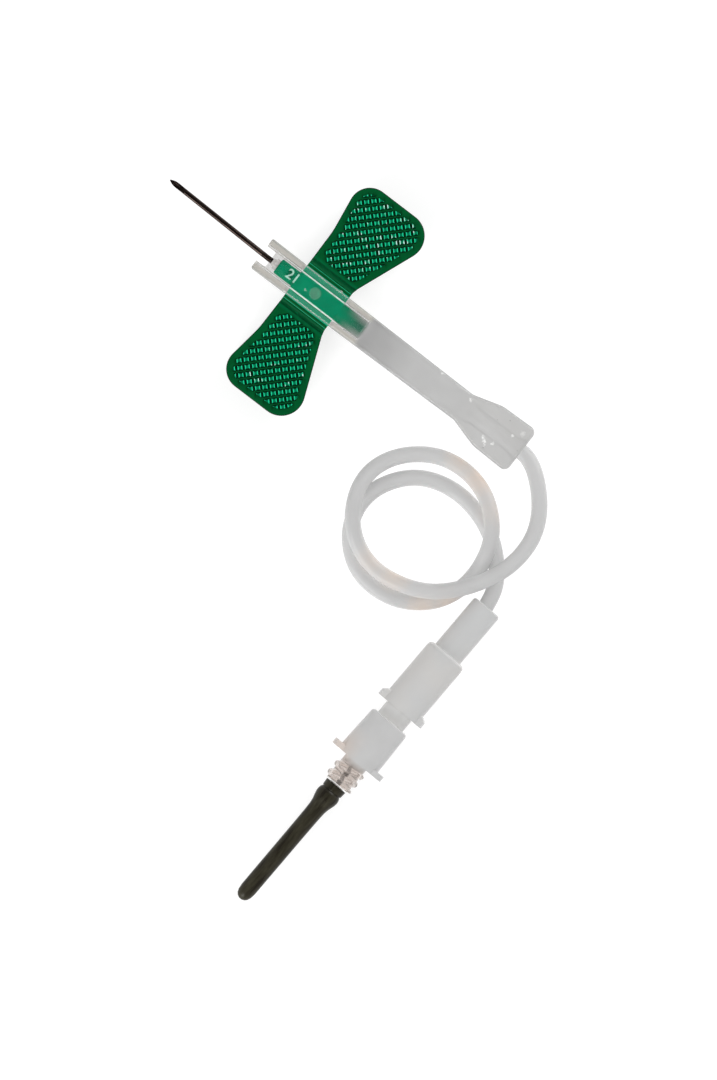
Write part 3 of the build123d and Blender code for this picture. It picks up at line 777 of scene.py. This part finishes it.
@dataclass(frozen=True)
class GripMoulding(GreenMoulding):
    """Wing moulding: painted glints on pad slopes along rows, painted shade across rows and in clefts."""

    middle: tuple[float, float, float] = (3.68 * MM, 11.15 * MM, 0.0)
    row: Vector = Vector((1.0, 1.0, 0.0)).normalized()
    column: Vector = Vector((-1.0, 1.0, 0.0)).normalized()
    pitch: float = 1.06 * MM
    grip_height: Range = (2.84 * MM, 3.04 * MM)
    web_reach: Range = (4.3 * MM, 4.6 * MM)
    hollow: Range = (0.25, 0.7)
    specular: float = 0.1
    # The web is lightened to offset the shade near the guard: painted light.
    web: Colour = (0.0, 0.118, 0.036)
    # Pad tops painted lighter than the plate: painted light.
    lit_pad_top: Colour = (0.0, 0.17, 0.075)
    # Painted highlight on the pad slopes that face along the rows.
    glint: Colour = (0.015, 0.71, 0.35)
    # Painted highlight: whiter glints in sparse noise patches.
    sparkle: Colour = (0.62, 0.97, 0.88)
    sparkle_start: float = 0.61
    sparkle_edge: float = 0.05
    sparkle_size: float = 1.4 * MM
    # Painted shade on the pad slopes that face across the rows.
    shaded_far_slope: Colour = (0.0, 0.05, 0.018)
    pad_lean: Range = (0.3, 0.6)
    facing_up: Range = (0.15, 0.3)
    nearly_flat: Range = (0.8, 0.9)
    glint_rise: Range = (0.1, 0.5)
    foot_height: Range = (0.3, 0.45)
    cleft_height: Range = (0.3, 0.7)
    cleft_openness: Range = (0.84, 0.95)
    cleft_start: float = 0.37
    pad_end: float = 0.4
    cleft_edge: float = 0.04

    def openness(self, board: Board, share: Socket) -> Socket:
        """Gives how open the surface is, counting the smooth web beside the hinge as fully open."""
        return board.larger(share, self.on_web(board))

    def on_web(self, board: Board) -> Socket:
        """Gives 1 on the smooth web beside the hinge and 0 past it."""
        return board.falls(board.aside(), *self.web_reach)

    def dress(self, board: Board, skin: Socket, open_share: Socket) -> Socket:
        """Gives the skin's colour with the grip's painted glints, lighter tops and painted shade.

        Args:
            board: Node tree that it is added to.
            skin: Colour of the plain skin.
            open_share: How open the surface is to what is around it.

        Returns:
            The dressed colour.
        """
        raised = board.rises(board.height(), *self.grip_height)
        upward = board.leaning(Z_AXIS)
        looks_up = board.rises(upward, *self.facing_up)
        along_row = board.rises(board.steepness(self.row), *self.pad_lean)
        across_row = board.rises(board.steepness(self.column), *self.pad_lean)
        patchy = board.noise(board.place(), self.sparkle_size, detail=4.0)
        sparkling = board.rises(patchy, self.sparkle_start, self.sparkle_start + self.sparkle_edge)
        glint = board.mix(sparkling, self.glint, self.sparkle)
        # Painted shade on the floor between the pads.
        foot = board.times(
            board.falls(upward, *self.nearly_flat),
            board.falls(raised, *self.foot_height),
            looks_up,
            board.without(self.on_web(board)),
        )
        # Painted light: lighter tops and glints along the rows; painted shade across rows, on the floor, in
        # clefts.
        for mask, colour in (
            (self.on_web(board), self.web),
            (raised, self.lit_pad_top),
            (board.times(along_row, board.rises(raised, *self.glint_rise)), glint),
            (board.times(across_row, looks_up), self.shaded_far_slope),
            (foot, self.painted_shade),
            (self.clefts(board, raised, open_share), self.painted_shade),
        ):
            skin = board.mix(mask, skin, colour)
        return skin

    def clefts(self, board: Board, raised: Socket, open_share: Socket) -> Socket:
        """Gives 1 in the narrow clefts between neighbours in a row, where the painted shade goes.

        Args:
            board: Node tree that it is added to.
            raised: Height within the grip, from 0 to 1.
            open_share: How open the surface is to what is around it.

        Returns:
            The mask.
        """
        middle = Vector(self.middle)
        along = board.maths("DIVIDE", board.along(middle, self.row), self.pitch)
        across = board.maths("DIVIDE", board.along(middle, self.column), self.pitch)
        from_pad = board.maths("PINGPONG", along, 0.5)
        in_row = board.maths("PINGPONG", across, 0.5)
        return board.times(
            board.rises(from_pad, self.cleft_start - self.cleft_edge, self.cleft_start),
            board.falls(in_row, self.pad_end - self.cleft_edge, self.pad_end),
            board.falls(raised, *self.cleft_height),
            board.falls(open_share, *self.cleft_openness),
        )


@dataclass(frozen=True)
class CollarMoulding(GreenMoulding):
    """Thinner, paler moulding of the collar, as green as the wings on the lips beside its hinges.

    Its long corners carry a painted highlight, and its tail is darker, with hazy edges. Bands give how far
    from the middle plane a colour starts; the first and the last band are painted light.
    """

    base: Colour = (0.0, 0.245, 0.118)
    hollow: Range = (0.05, 0.3)
    bands: tuple[tuple[Range, Colour], ...] = (
        # Flank beside the channel, lightened to offset the slot's shade: painted light.
        ((1.6 * MM, 1.65 * MM), (0.01, 0.45, 0.245)),
        ((2.55 * MM, 2.65 * MM), (0.0, 0.092, 0.024)),
        # Painted highlight along the crest of each hinge.
        ((3.0 * MM, 3.1 * MM), (0.012, 0.5, 0.24)),
    )
    # Painted highlight along the long corners of the collar's barrel.
    corner: Colour = (0.6, 0.85, 0.75)
    corner_inside: Range = (1.33 * MM, 1.38 * MM)
    corner_outside: Range = (1.6 * MM, 1.65 * MM)
    past_flat: Range = (0.25, 0.5)
    near_upright: Range = (0.75, 0.95)
    tail: Colour = (0.04, 0.165, 0.108)
    tail_reach: Range = (-2.4 * MM, 0.2 * MM)
    haze: Colour = (0.42, 0.44, 0.43)
    haze_reach: Range = (0.35 * MM, 1.4 * MM)
    haze_share: float = 0.85

    def dress(self, board: Board, skin: Socket, open_share: Socket) -> Socket:
        """Gives the skin's colour with its bands, its painted corner highlights and its tail.

        Args:
            board: Node tree that it is added to.
            skin: Colour of the plain skin.
            open_share: How open the surface is to what is around it.

        Returns:
            The dressed colour.
        """
        aside = board.aside()
        for reach, colour in self.bands:
            skin = board.mix(board.rises(aside, *reach), skin, colour)
        tilt = board.steepness(Y_AXIS)
        # Mask of the painted highlight on the corners.
        corner_highlight_mask = board.times(
            board.rises(tilt, *self.past_flat),
            board.falls(tilt, *self.near_upright),
            board.rises(aside, *self.corner_inside),
            board.falls(aside, *self.corner_outside),
        )
        skin = board.mix(corner_highlight_mask, skin, self.corner)
        behind = board.falls(board.forward(), *self.tail_reach)
        hazy = board.times(behind, board.span(aside, *self.haze_reach, 0.0, self.haze_share))
        return board.mix(hazy, board.mix(behind, skin, self.tail), self.haze)


@dataclass(frozen=True)
class DrawnSteel:
    """Drawn needle tube: dark polished metal with fine marks along its length."""

    name: str
    axis: Vector
    bright: Colour = (0.062, 0.046, 0.04)
    dark: Colour = (0.012, 0.007, 0.006)
    stretch: tuple[float, float, float] = (0.04, 1.0, 1.0)
    grain: float = 0.09 * MM
    relief: float = 0.003 * MM
    gloss: Range = (0.12, 0.2)

    def material(self) -> Material:
        """Makes the material.

        Returns:
            The material.
        """
        board = Board(self.name)
        marks = board.noise(board.place(self.stretch, turn_onto_x(self.axis)), self.grain, detail=4.0)
        board.feed(Base_Color=board.ramp(marks, (0.35, self.dark), (0.65, self.bright)))
        board.polish(marks, *self.gloss)
        board.bump(marks, self.relief)
        board.set(Metallic=1.0)
        return board.material


@dataclass(frozen=True)
class SoftRubber:
    """Dip-moulded black rubber: dull, with streaks of dust and painted sheen along its length."""

    name: str
    axis: Vector
    base: Colour = (0.014, 0.0115, 0.007)
    dust_and_sheen: Colour = (0.043, 0.0395, 0.025)
    streak_stretch: tuple[float, float, float] = (0.18, 1.0, 1.0)
    streak: float = 0.7 * MM
    grain_stretch: tuple[float, float, float] = (0.3, 1.0, 1.0)
    grain: float = 0.35 * MM
    relief: float = 0.008 * MM
    gloss: Range = (0.22, 0.4)
    refraction: float = 1.4
    specular: float = 0.22

    def material(self) -> Material:
        """Makes the material.

        Returns:
            The material.
        """
        board = Board(self.name)
        turn = turn_onto_x(self.axis)
        streaks = board.noise(board.place(self.streak_stretch, turn), self.streak, detail=5.0)
        fine = board.noise(board.place(self.grain_stretch, turn), self.grain, detail=4.0)
        # Streaks of dust and painted sheen lighten the base colour.
        board.feed(Base_Color=board.ramp(streaks, (0.36, self.base), (0.66, self.dust_and_sheen)))
        board.polish(streaks, *self.gloss)
        board.bump(fine, self.relief)
        board.set(IOR=self.refraction, Specular_IOR_Level=self.specular)
        return board.material


@dataclass(frozen=True)
class Finishes:
    """The finishes of the whole set."""

    needle_axis: Vector
    connector_axis: Vector
    flange_back: Vector

    def build(self) -> dict[str, Material]:
        """Makes every material.

        Returns:
            Materials by name.
        """
        finishes = {
            "steel": DrawnSteel("drawn_steel", self.needle_axis),
            "rear_steel": DrawnSteel("rear_drawn_steel", self.connector_axis),
            "adhesive": MilkyPlastic("cured_bead", (0.9, 0.89, 0.87), (0.82, 0.8, 0.78), 0.4, 0.15),
            "hub": MilkyPlastic("hub_clear", (0.78, 0.77, 0.76), (0.72, 0.7, 0.69), 0.3, 0.2),
            "left_wing": GripMoulding("left_wing_green"),
            "right_wing": GripMoulding("right_wing_green", middle=(3.68 * MM, -11.15 * MM, 0.0),
                                       sparkle_start=0.57),
            "collar": CollarMoulding("green_collar"),
            # The pale mint of the raised digits is a painted highlight on green moulding.
            "digits": GreenMoulding("green_digits", (0.42, 0.72, 0.6), (0.1, 0.3, 0.2)),
            "guard": GuardPlastic("guard_milky"),
            "guard_inside": ChannelPlastic("guard_channel"),
            "tube": MilkyPlastic("tube_milky", (0.615, 0.614, 0.613), (0.735, 0.63, 0.55), 0.25, 0.2,
                                 shade=0.85, cloud=12 * MM, cloud_start=0.0, cloud_end=1.0, refraction=1.25,
                                 warm_zones=TUBE_WARM_ZONES),
            "luer": MilkyPlastic("luer_milky", (0.625, 0.628, 0.628), (0.655, 0.643, 0.63), 0.15, 0.2,
                                 shade=0.75, refraction=1.33),
            "adapter": HolderPlastic("adapter_milky", self.flange_back, self.connector_axis),
            "rubber": SoftRubber("black_rubber_skin", self.connector_axis),
        }
        return {name: finish.material() for name, finish in finishes.items()}


def add_object(name: str, data: bpy.types.ID) -> Piece:
    """Puts an object in the scene, at the origin.

    Args:
        name: Name of the object.
        data: Its mesh, curve, lamp or camera.

    Returns:
        The new object.
    """
    made = bpy.data.objects.new(name, data)
    bpy.context.scene.collection.objects.link(made)
    return made


def add_piece(name: str, mesh: bpy.types.Mesh, material: Material, body: Body) -> Piece:
    """Puts a mesh in the scene as a piece of the set.

    Args:
        name: Name of the piece.
        mesh: Its mesh, in place.
        material: Its finish.
        body: Body that it rides on.

    Returns:
        The new piece.
    """
    piece = add_object(name, mesh)
    mesh.materials.clear()
    mesh.materials.append(material)
    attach(piece, body.value)
    LOG.info("%s: %d faces on %s", name, len(mesh.polygons), body.value)
    return piece


def smooth_shading(shell: bmesh.types.BMesh, crease: float) -> None:
    """Shades a mesh smooth, with hard edges where its faces meet sharply.

    Args:
        shell: Mesh to shade.
        crease: Angle above which an edge is hard, in degrees.
    """
    limit = math.radians(crease)
    for face in shell.faces:
        face.smooth = True
    for edge in shell.edges:
        edge.smooth = edge.calc_face_angle(math.pi) < limit


def to_mesh(shell: bmesh.types.BMesh, name: str) -> bpy.types.Mesh:
    """Writes a bmesh to a new mesh and frees it.

    Args:
        shell: The bmesh.
        name: Name of the mesh.

    Returns:
        The new mesh.
    """
    mesh = bpy.data.meshes.new(name)
    shell.to_mesh(mesh)
    shell.free()
    return mesh


def applied(source: Piece) -> bpy.types.Mesh:
    """Gives an object's shape as a new mesh, with its modifiers or its text made into faces."""
    bpy.context.view_layer.update()
    return bpy.data.meshes.new_from_object(source.evaluated_get(bpy.context.evaluated_depsgraph_get()))


def placed_on(start: Vector, axis: Vector) -> Matrix:
    """Gives the placement that moves the origin to a point and turns X on to an axis."""
    return Matrix.Translation(start) @ axis.to_track_quat("X", "Z").to_matrix().to_4x4()


def dressed_node(node: str, material: Material, body: Body, crease: float = 32.0) -> Piece:
    """Stands a smooth copy of a CAD node in its place, with its loose triangles merged.

    Args:
        node: Name of the node.
        material: Its finish.
        body: Body that it rides on.
        crease: Angle above which an edge stays hard, in degrees.

    Returns:
        The new piece.
    """
    shell = bmesh.new()
    shell.from_mesh(frame["nodes"][node].data)
    bmesh.ops.remove_doubles(shell, verts=shell.verts, dist=NODE_WELD)
    smooth_shading(shell, crease)
    piece = add_piece(f"{node}_skin", to_mesh(shell, node), material, body)
    weights = piece.modifiers.new("even_normals", "WEIGHTED_NORMAL")
    weights.keep_sharp = True
    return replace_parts(piece, node)


@dataclass
class NeedleHub:
    """Needle, adhesive bead, clear hub and the green collar with its gauge digits."""

    finishes: dict[str, Material]
    gauge: str = "21"
    digit_height: float = 1.45 * MM
    digit_share: float = 0.7
    digit_relief: float = 0.16 * MM
    digit_bevel: float = 0.03 * MM
    digit_middle: float = 9.3 * MM

    def build(self) -> None:
        """Builds the hub's pieces."""
        for node, finish, slot in (
            ("cannula", "steel", Slot.STEEL),
            ("cannula_adhesive", "adhesive", Slot.ADHESIVE),
            ("hub_tube", "hub", Slot.HUB),
            ("wing_collar", "collar", Slot.GREEN),
        ):
            dressed_node(node, self.finishes[finish], Body.HUB)
        self.digits()

    def digits(self) -> Piece:
        """Raises the gauge digits on the collar, read from the needle's tip towards the tube.

        Returns:
            The digits' piece.
        """
        text = bpy.data.curves.new("digits_text", "FONT")
        text.body = self.gauge
        text.size = self.digit_height / self.digit_share
        text.extrude = self.digit_relief
        text.bevel_depth = self.digit_bevel
        text.align_x = "CENTER"
        text.align_y = "CENTER"
        holder = add_object("digits_text", text)
        mesh = applied(holder)
        bpy.data.objects.remove(holder)
        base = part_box("wing_collar")[1].z - self.digit_relief + self.digit_bevel
        mesh.transform(Matrix.Rotation(math.pi, 4, "Z"))
        mesh.transform(Matrix.Translation((self.digit_middle, 0.0, base)))
        return add_piece("gauge_digits", mesh, self.finishes["digits"], Body.HUB)


@dataclass
class Wings:
    """The two folding wings."""

    finishes: dict[str, Material]

    def build(self) -> None:
        """Builds both wings."""
        dressed_node("left_wing", self.finishes["left_wing"], Body.LEFT_WING)
        dressed_node("right_wing", self.finishes["right_wing"], Body.RIGHT_WING)


@dataclass
class Guard:
    """The translucent sliding guard."""

    finishes: dict[str, Material]
    axis_height: float = 2.4 * MM
    channel_half: float = 1.62 * MM
    slot_half: float = 0.66 * MM
    level: float = 0.5

    def build(self) -> None:
        """Builds the guard, with a clearer finish on the walls of its channel and slots."""
        skin = dressed_node("guard", self.finishes["guard"], Body.GUARD)
        skin.data.materials.append(self.finishes["guard_inside"])
        for face in skin.data.polygons:
            rise = abs(face.center.z - self.axis_height)
            in_channel = rise < self.channel_half and abs(face.center.y) < self.channel_half
            in_slot = rise < self.slot_half and abs(face.normal.z) > self.level
            face.material_index = 1 if in_channel or in_slot else 0


@dataclass
class Tubing:
    """Limp tube: straight through the guard, then two loose loops, the first over the second."""

    finishes: dict[str, Material]
    diameter: float = 2.3 * MM
    length: float = 188 * MM
    exit: tuple[float, float, float] = (-0.0035, 0.0, 0.0024)
    route: tuple[tuple[float, float, float], ...] = (
        (0.0021, 0.0, 0.0024),
        (-0.0150, 0.0, 0.0024),
        (-0.0293, 0.0, 0.0024),
        (-0.0343, 0.0, 0.0024),
        (-0.0404, 0.0064, 0.0034),
        (-0.0409, 0.0137, 0.0048),
        (-0.0373, 0.0206, 0.0043),
        (-0.0323, 0.0250, 0.0031),
        (-0.0247, 0.0265, 0.0025),
        (-0.0187, 0.0234, 0.0039),
        (-0.0157, 0.0170, 0.0036),
        (-0.0177, 0.0111, 0.0020),
        (-0.0235, 0.0069, 0.0021),
        (-0.0307, 0.0072, 0.0034),
        (-0.0361, 0.0118, 0.0044),
        (-0.03755, 0.0184, 0.0016),
        (-0.0356, 0.0243, 0.0012),
        (-0.0303, 0.0281, 0.0012),
        (-0.0236, 0.0282, 0.0012),
        (-0.0187, 0.0240, 0.0012),
        (-0.0176, 0.0179, 0.0012),
        (-0.0213, 0.0120, 0.0012),
        (-0.0274, 0.0098, 0.0012),
        (-0.0343, 0.0111, 0.0012),
        (-0.0393, 0.0151, 0.0013),
        (-0.04145, 0.0196, 0.00335),
        (-0.0412, 0.0245, 0.00335),
    )

    def build(self, on_the_end: list[Piece]) -> Piece:
        """Builds the tube.

        Args:
            on_the_end: Pieces that the tube's far end carries; not used.

        Returns:
            The tube's curve.
        """
        line = bpy.data.curves.new("tubing_line", "CURVE")
        line.dimensions = "3D"
        spline = line.splines.new("NURBS")
        spline.points.add(len(self.route) - 1)
        for point, place in zip(spline.points, self.route):
            point.co = (*place, 1.0)
        spline.order_u = 3
        spline.use_endpoint_u = True
        spline.resolution_u = 12
        line.bevel_depth = self.diameter / 2
        line.bevel_resolution = 8
        line.use_fill_caps = True
        line.materials.append(self.finishes["tube"])
        tube = add_object("tubing_run", line)
        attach(tube, Body.HUB.value)
        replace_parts(tube, "tubing")
        LOG.info("tubing: %d route points", len(self.route))
        return tube


@dataclass
class LuerConnector:
    """Female luer connector on the tube's end."""

    finishes: dict[str, Material]

    def build(self) -> list[Piece]:
        """Builds the connector and returns its pieces."""
        return [dressed_node("female_luer", self.finishes["luer"], Body.HUB)]


@dataclass
class HolderAdapter:
    """Luer adapter with a threaded spigot and the rear needle."""

    finishes: dict[str, Material]
    axis: Vector
    flange_back: Vector
    spigot_length: float = 4.25 * MM
    root: float = 1.88 * MM
    crest: float = 2.35 * MM
    sink: float = 0.15 * MM
    pitch: float = 1.48 * MM
    lobe_half: float = 0.48 * MM
    lobe_power: float = 0.7
    first_crest: float = 0.035 * MM
    start_turns: float = 0.35
    spare_turns: float = 0.1
    fade_turns: float = 0.3
    steps_per_turn: int = 48
    profile_points: int = 9
    cut_gap: float = 0.0001 * MM
    thread_crease: float = 38.0

    def build(self) -> list[Piece]:
        """Builds the adapter.

        Returns:
            The adapter, its needle and the bead that holds the needle.
        """
        body = dressed_node("luer_adapter", self.finishes["adapter"], Body.ADAPTER)
        self.join_thread(body)
        needle = dressed_node("rear_cannula", self.finishes["rear_steel"], Body.ADAPTER)
        bead = dressed_node("rear_adhesive", self.finishes["adhesive"], Body.ADAPTER)
        return [body, needle, bead]

    def thread(self) -> bmesh.types.BMesh:
        """Winds the single-start rounded thread round the spigot, fading into its root at both ends.

        Returns:
            The thread, in place.
        """
        shell = bmesh.new()
        inside = self.root - self.sink
        rise = self.crest - inside
        ring = []
        for step in range(self.profile_points):
            angle = math.pi * step / (self.profile_points - 1)
            radius = inside + rise * math.sin(angle) ** self.lobe_power
            ring.append(shell.verts.new((-self.lobe_half * math.cos(angle), 0.0, radius)))
        section = shell.faces.new(ring)
        turns = self.spigot_length / self.pitch - self.start_turns + self.spare_turns
        first_turn = Matrix.Rotation(self.start_turns * math.tau, 3, "X")
        bmesh.ops.rotate(shell, verts=shell.verts, cent=(0, 0, 0), matrix=first_turn)
        bmesh.ops.spin(shell, geom=[section, *section.edges, *section.verts], cent=(0, 0, 0), axis=(1, 0, 0),
                       dvec=(self.pitch / self.steps_per_turn, 0, 0), angle=turns * math.tau,
                       steps=round(turns * self.steps_per_turn), use_duplicate=False)
        length = turns * self.pitch
        fade = self.pitch * self.fade_turns
        for vertex in shell.verts:
            radial = Vector((0.0, vertex.co.y, vertex.co.z))
            share = max(0.0, min(1.0, vertex.co.x / fade, (length - vertex.co.x) / fade))
            vertex.co.yz = radial.normalized().yz * (inside + (radial.length - inside) * share)
        lead = self.first_crest + self.start_turns * self.pitch
        bmesh.ops.bisect_plane(shell, geom=[*shell.verts, *shell.edges, *shell.faces], dist=self.cut_gap,
                               plane_co=(self.spigot_length - lead, 0, 0), plane_no=(1, 0, 0),
                               clear_outer=True)
        bmesh.ops.holes_fill(shell, edges=[edge for edge in shell.edges if edge.is_boundary])
        bmesh.ops.recalc_face_normals(shell, faces=shell.faces)
        LOG.info("thread closed: %s", all(edge.is_manifold for edge in shell.edges))
        place = placed_on(self.flange_back + self.axis * lead, self.axis)
        bmesh.ops.transform(shell, verts=shell.verts, matrix=place)
        return shell

    def join_thread(self, body: Piece) -> None:
        """Makes the thread one skin with the adapter.

        Args:
            body: The adapter's piece.
        """
        helper = add_object("thread_helper", to_mesh(self.thread(), "thread_helper"))
        union = body.modifiers.new("thread", "BOOLEAN")
        union.operation = "UNION"
        union.solver = "EXACT"
        union.object = helper
        body.modifiers.move(len(body.modifiers) - 1, 0)
        for modifier in body.modifiers:
            modifier.show_viewport = modifier == union
        shell = bmesh.new()
        shell.from_mesh(applied(body))
        body.modifiers.remove(union)
        for modifier in body.modifiers:
            modifier.show_viewport = True
        bmesh.ops.remove_doubles(shell, verts=shell.verts, dist=WELD)
        smooth_shading(shell, self.thread_crease)
        shell.to_mesh(body.data)
        shell.free()
        bpy.data.objects.remove(helper)
        LOG.info("thread joined: %d faces", len(body.data.polygons))


@dataclass
class RubberSleeve:
    """Black rubber sleeve over the rear needle: collar, groove, bulb and a long closed finger."""

    finishes: dict[str, Material]
    axis: Vector
    start: Vector
    length: float = 21.2 * MM
    travel: float = 14 * MM
    crease: float = 60.0
    steps_round: int = 72
    profile: tuple[tuple[float, float], ...] = (
        (0.0, 1.07), (0.0, 1.66), (0.03, 1.69), (0.08, 1.7), (0.5, 1.665), (0.95, 1.63), (1.0, 1.62),
        (1.03, 1.59), (1.03, 1.53), (1.06, 1.5), (1.12, 1.5), (1.17, 1.53), (1.25, 1.6), (1.5, 1.72),
        (1.95, 1.78), (2.4, 1.73), (2.9, 1.6), (3.5, 1.42), (4.2, 1.31), (5.4, 1.26), (8.0, 1.24),
        (12.0, 1.23), (16.0, 1.225), (19.4, 1.22), (20.2, 1.12), (20.7, 0.92), (21.0, 0.64), (21.17, 0.3),
        (21.2, 0.0),
    )

    def build(self) -> list[Piece]:
        """Builds the sleeve.

        Returns:
            The sleeve, as a list of one.
        """
        shell = bmesh.new()
        points = [shell.verts.new((x * MM, 0.0, r * MM)) for x, r in self.profile]
        edges = [shell.edges.new(pair) for pair in zip(points, points[1:])]
        bmesh.ops.spin(shell, geom=points + edges, cent=(0, 0, 0), axis=(1, 0, 0), angle=math.tau,
                       steps=self.steps_round, use_merge=True)
        bmesh.ops.remove_doubles(shell, verts=shell.verts, dist=WELD)
        bmesh.ops.recalc_face_normals(shell, faces=shell.faces)
        smooth_shading(shell, self.crease)
        mesh = to_mesh(shell, "rubber_sleeve")
        mesh.transform(placed_on(self.start, self.axis))
        piece = add_piece("rubber_sleeve_skin", mesh, self.finishes["rubber"], Body.SLEEVE)
        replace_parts(piece, "rubber_sleeve")
        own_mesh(piece)
        return [piece]


@dataclass(frozen=True)
class Lamp:
    """Square soft lamp, placed from the middle of the set: right and up in the picture, and above it."""

    name: str
    right: float
    up: float
    above: float
    power: float
    width: float = 0.35


@dataclass
class Studio:
    """Camera straight above, white floor, and soft light from two opposite corners of the picture."""

    right: Vector = Vector((-0.7944, -0.6074, 0.0))
    up: Vector = Vector((0.6074, -0.7944, 0.0))
    middle: Vector = Vector((-0.02096, 0.02415, 0.0024))
    distance: float = 1.2858
    focal_length: float = 300.0
    sensor_width: float = 36.0
    clip: Range = (0.01, 20.0)
    floor_half: float = 1.5
    floor_drop: float = 0.05 * MM
    floor_grey: float = 0.8
    floor_shadow: float = 0.32
    floor_glow: float = 0.78
    overhead: Range = (0.35, 0.95)
    room_light: Range = (0.75, 0.22)
    lamps: tuple[Lamp, ...] = (
        Lamp("left_softbox", -0.4, -0.42, 0.3, power=3.0),
        Lamp("right_softbox", 0.44, 0.36, 0.28, power=2.4),
    )

    def build(self) -> None:
        """Builds camera, floor and light."""
        self.camera()
        self.floor()
        for lamp in self.lamps:
            self.hang(lamp)
        self.room()

    def camera(self) -> None:
        """Sets the camera over the middle of the set, turned as the photograph is."""
        lens = bpy.data.cameras.new("view")
        lens.lens = self.focal_length
        lens.sensor_width = self.sensor_width
        lens.clip_start, lens.clip_end = self.clip
        camera = add_object("view", lens)
        turn = Matrix((self.right, self.up, self.right.cross(self.up))).transposed().to_4x4()
        camera.matrix_world = Matrix.Translation(self.middle + Z_AXIS * self.distance) @ turn
        bpy.context.scene.camera = camera

    def floor(self) -> None:
        """Lays a floor that shows white and keeps a faint shadow of the set."""
        shell = bmesh.new()
        bmesh.ops.create_grid(shell, x_segments=1, y_segments=1, size=self.floor_half)
        bmesh.ops.translate(shell, verts=shell.verts, vec=(0.0, 0.0, -self.floor_drop))
        floor = add_object("floor", to_mesh(shell, "floor"))
        board = Board("white_floor")
        paths = board.node("ShaderNodeLightPath").outputs
        seen = board.larger(paths["Is Camera Ray"], paths["Is Glossy Ray"])
        seen = board.larger(seen, paths["Is Transmission Ray"])
        plain = board.node("ShaderNodeBsdfDiffuse", Color=(*grey(self.floor_grey), 1.0))
        shadow = board.node("ShaderNodeBsdfDiffuse", Color=(*grey(self.floor_shadow), 1.0))
        glow = board.node("ShaderNodeEmission", Color=(*grey(1.0), 1.0), Strength=self.floor_glow)
        both = board.node("ShaderNodeAddShader")
        board.join(shadow.outputs[0], both.inputs[0])
        board.join(glow.outputs[0], both.inputs[1])
        board.tree.nodes.remove(board.shader)
        board.finish(board.either(seen, plain.outputs[0], both.outputs[0]))
        floor.data.materials.append(board.material)

    def room(self) -> None:
        """Sets a pale room, darker overhead."""
        world = bpy.data.worlds.new("pale_room")
        world.use_nodes = True
        nodes, links = world.node_tree.nodes, world.node_tree.links
        backdrop = nodes["Background"]
        backdrop.inputs["Color"].default_value = (*grey(1.0), 1.0)
        direction = nodes.new("ShaderNodeTexCoord")
        parts = nodes.new("ShaderNodeSeparateXYZ")
        strength = nodes.new("ShaderNodeMapRange")
        ends = ("From Min", "From Max", "To Min", "To Max")
        for name, number in zip(ends, (*self.overhead, *self.room_light)):
            strength.inputs[name].default_value = number
        links.new(direction.outputs["Generated"], parts.inputs["Vector"])
        links.new(parts.outputs["Z"], strength.inputs["Value"])
        links.new(strength.outputs["Result"], backdrop.inputs["Strength"])
        bpy.context.scene.world = world

    def hang(self, lamp: Lamp) -> None:
        """Hangs one lamp that points at the set.

        Args:
            lamp: The lamp.
        """
        light = bpy.data.lights.new(lamp.name, "AREA")
        light.shape = "SQUARE"
        light.size = lamp.width
        light.energy = lamp.power
        place = self.middle + self.right * lamp.right + self.up * lamp.up + Z_AXIS * lamp.above
        aim = (self.middle - place).to_track_quat("-Z", "Y").to_matrix().to_4x4()
        add_object(lamp.name, light).matrix_world = Matrix.Translation(place) @ aim


def main() -> None:
    """Builds the set, its stage and its light."""
    logging.basicConfig(level=logging.INFO, format="%(name)s %(message)s")
    connector_axis = Vector(JOINTS["adapter_pull"]["axis"]).normalized()
    spigot_middle = Vector(MOUNTS["holder_spigot"]["pos_m"])
    half_spigot = HolderAdapter.spigot_length / 2
    flange_back = spigot_middle - connector_axis * half_spigot
    sleeve_start = spigot_middle + connector_axis * (half_spigot + SLEEVE_SEAT_GAP)
    Studio().build()
    finishes = Finishes(X_AXIS, connector_axis, flange_back).build()
    NeedleHub(finishes).build()
    Wings(finishes).build()
    Guard(finishes).build()
    connector = LuerConnector(finishes).build()
    adapter = HolderAdapter(finishes, connector_axis, flange_back).build()
    sleeve = RubberSleeve(finishes, connector_axis, sleeve_start).build()
    Tubing(finishes).build(connector + adapter + sleeve)
    bpy.context.scene.view_settings.view_transform = "Standard"


if __name__ == "__main__":
    main()
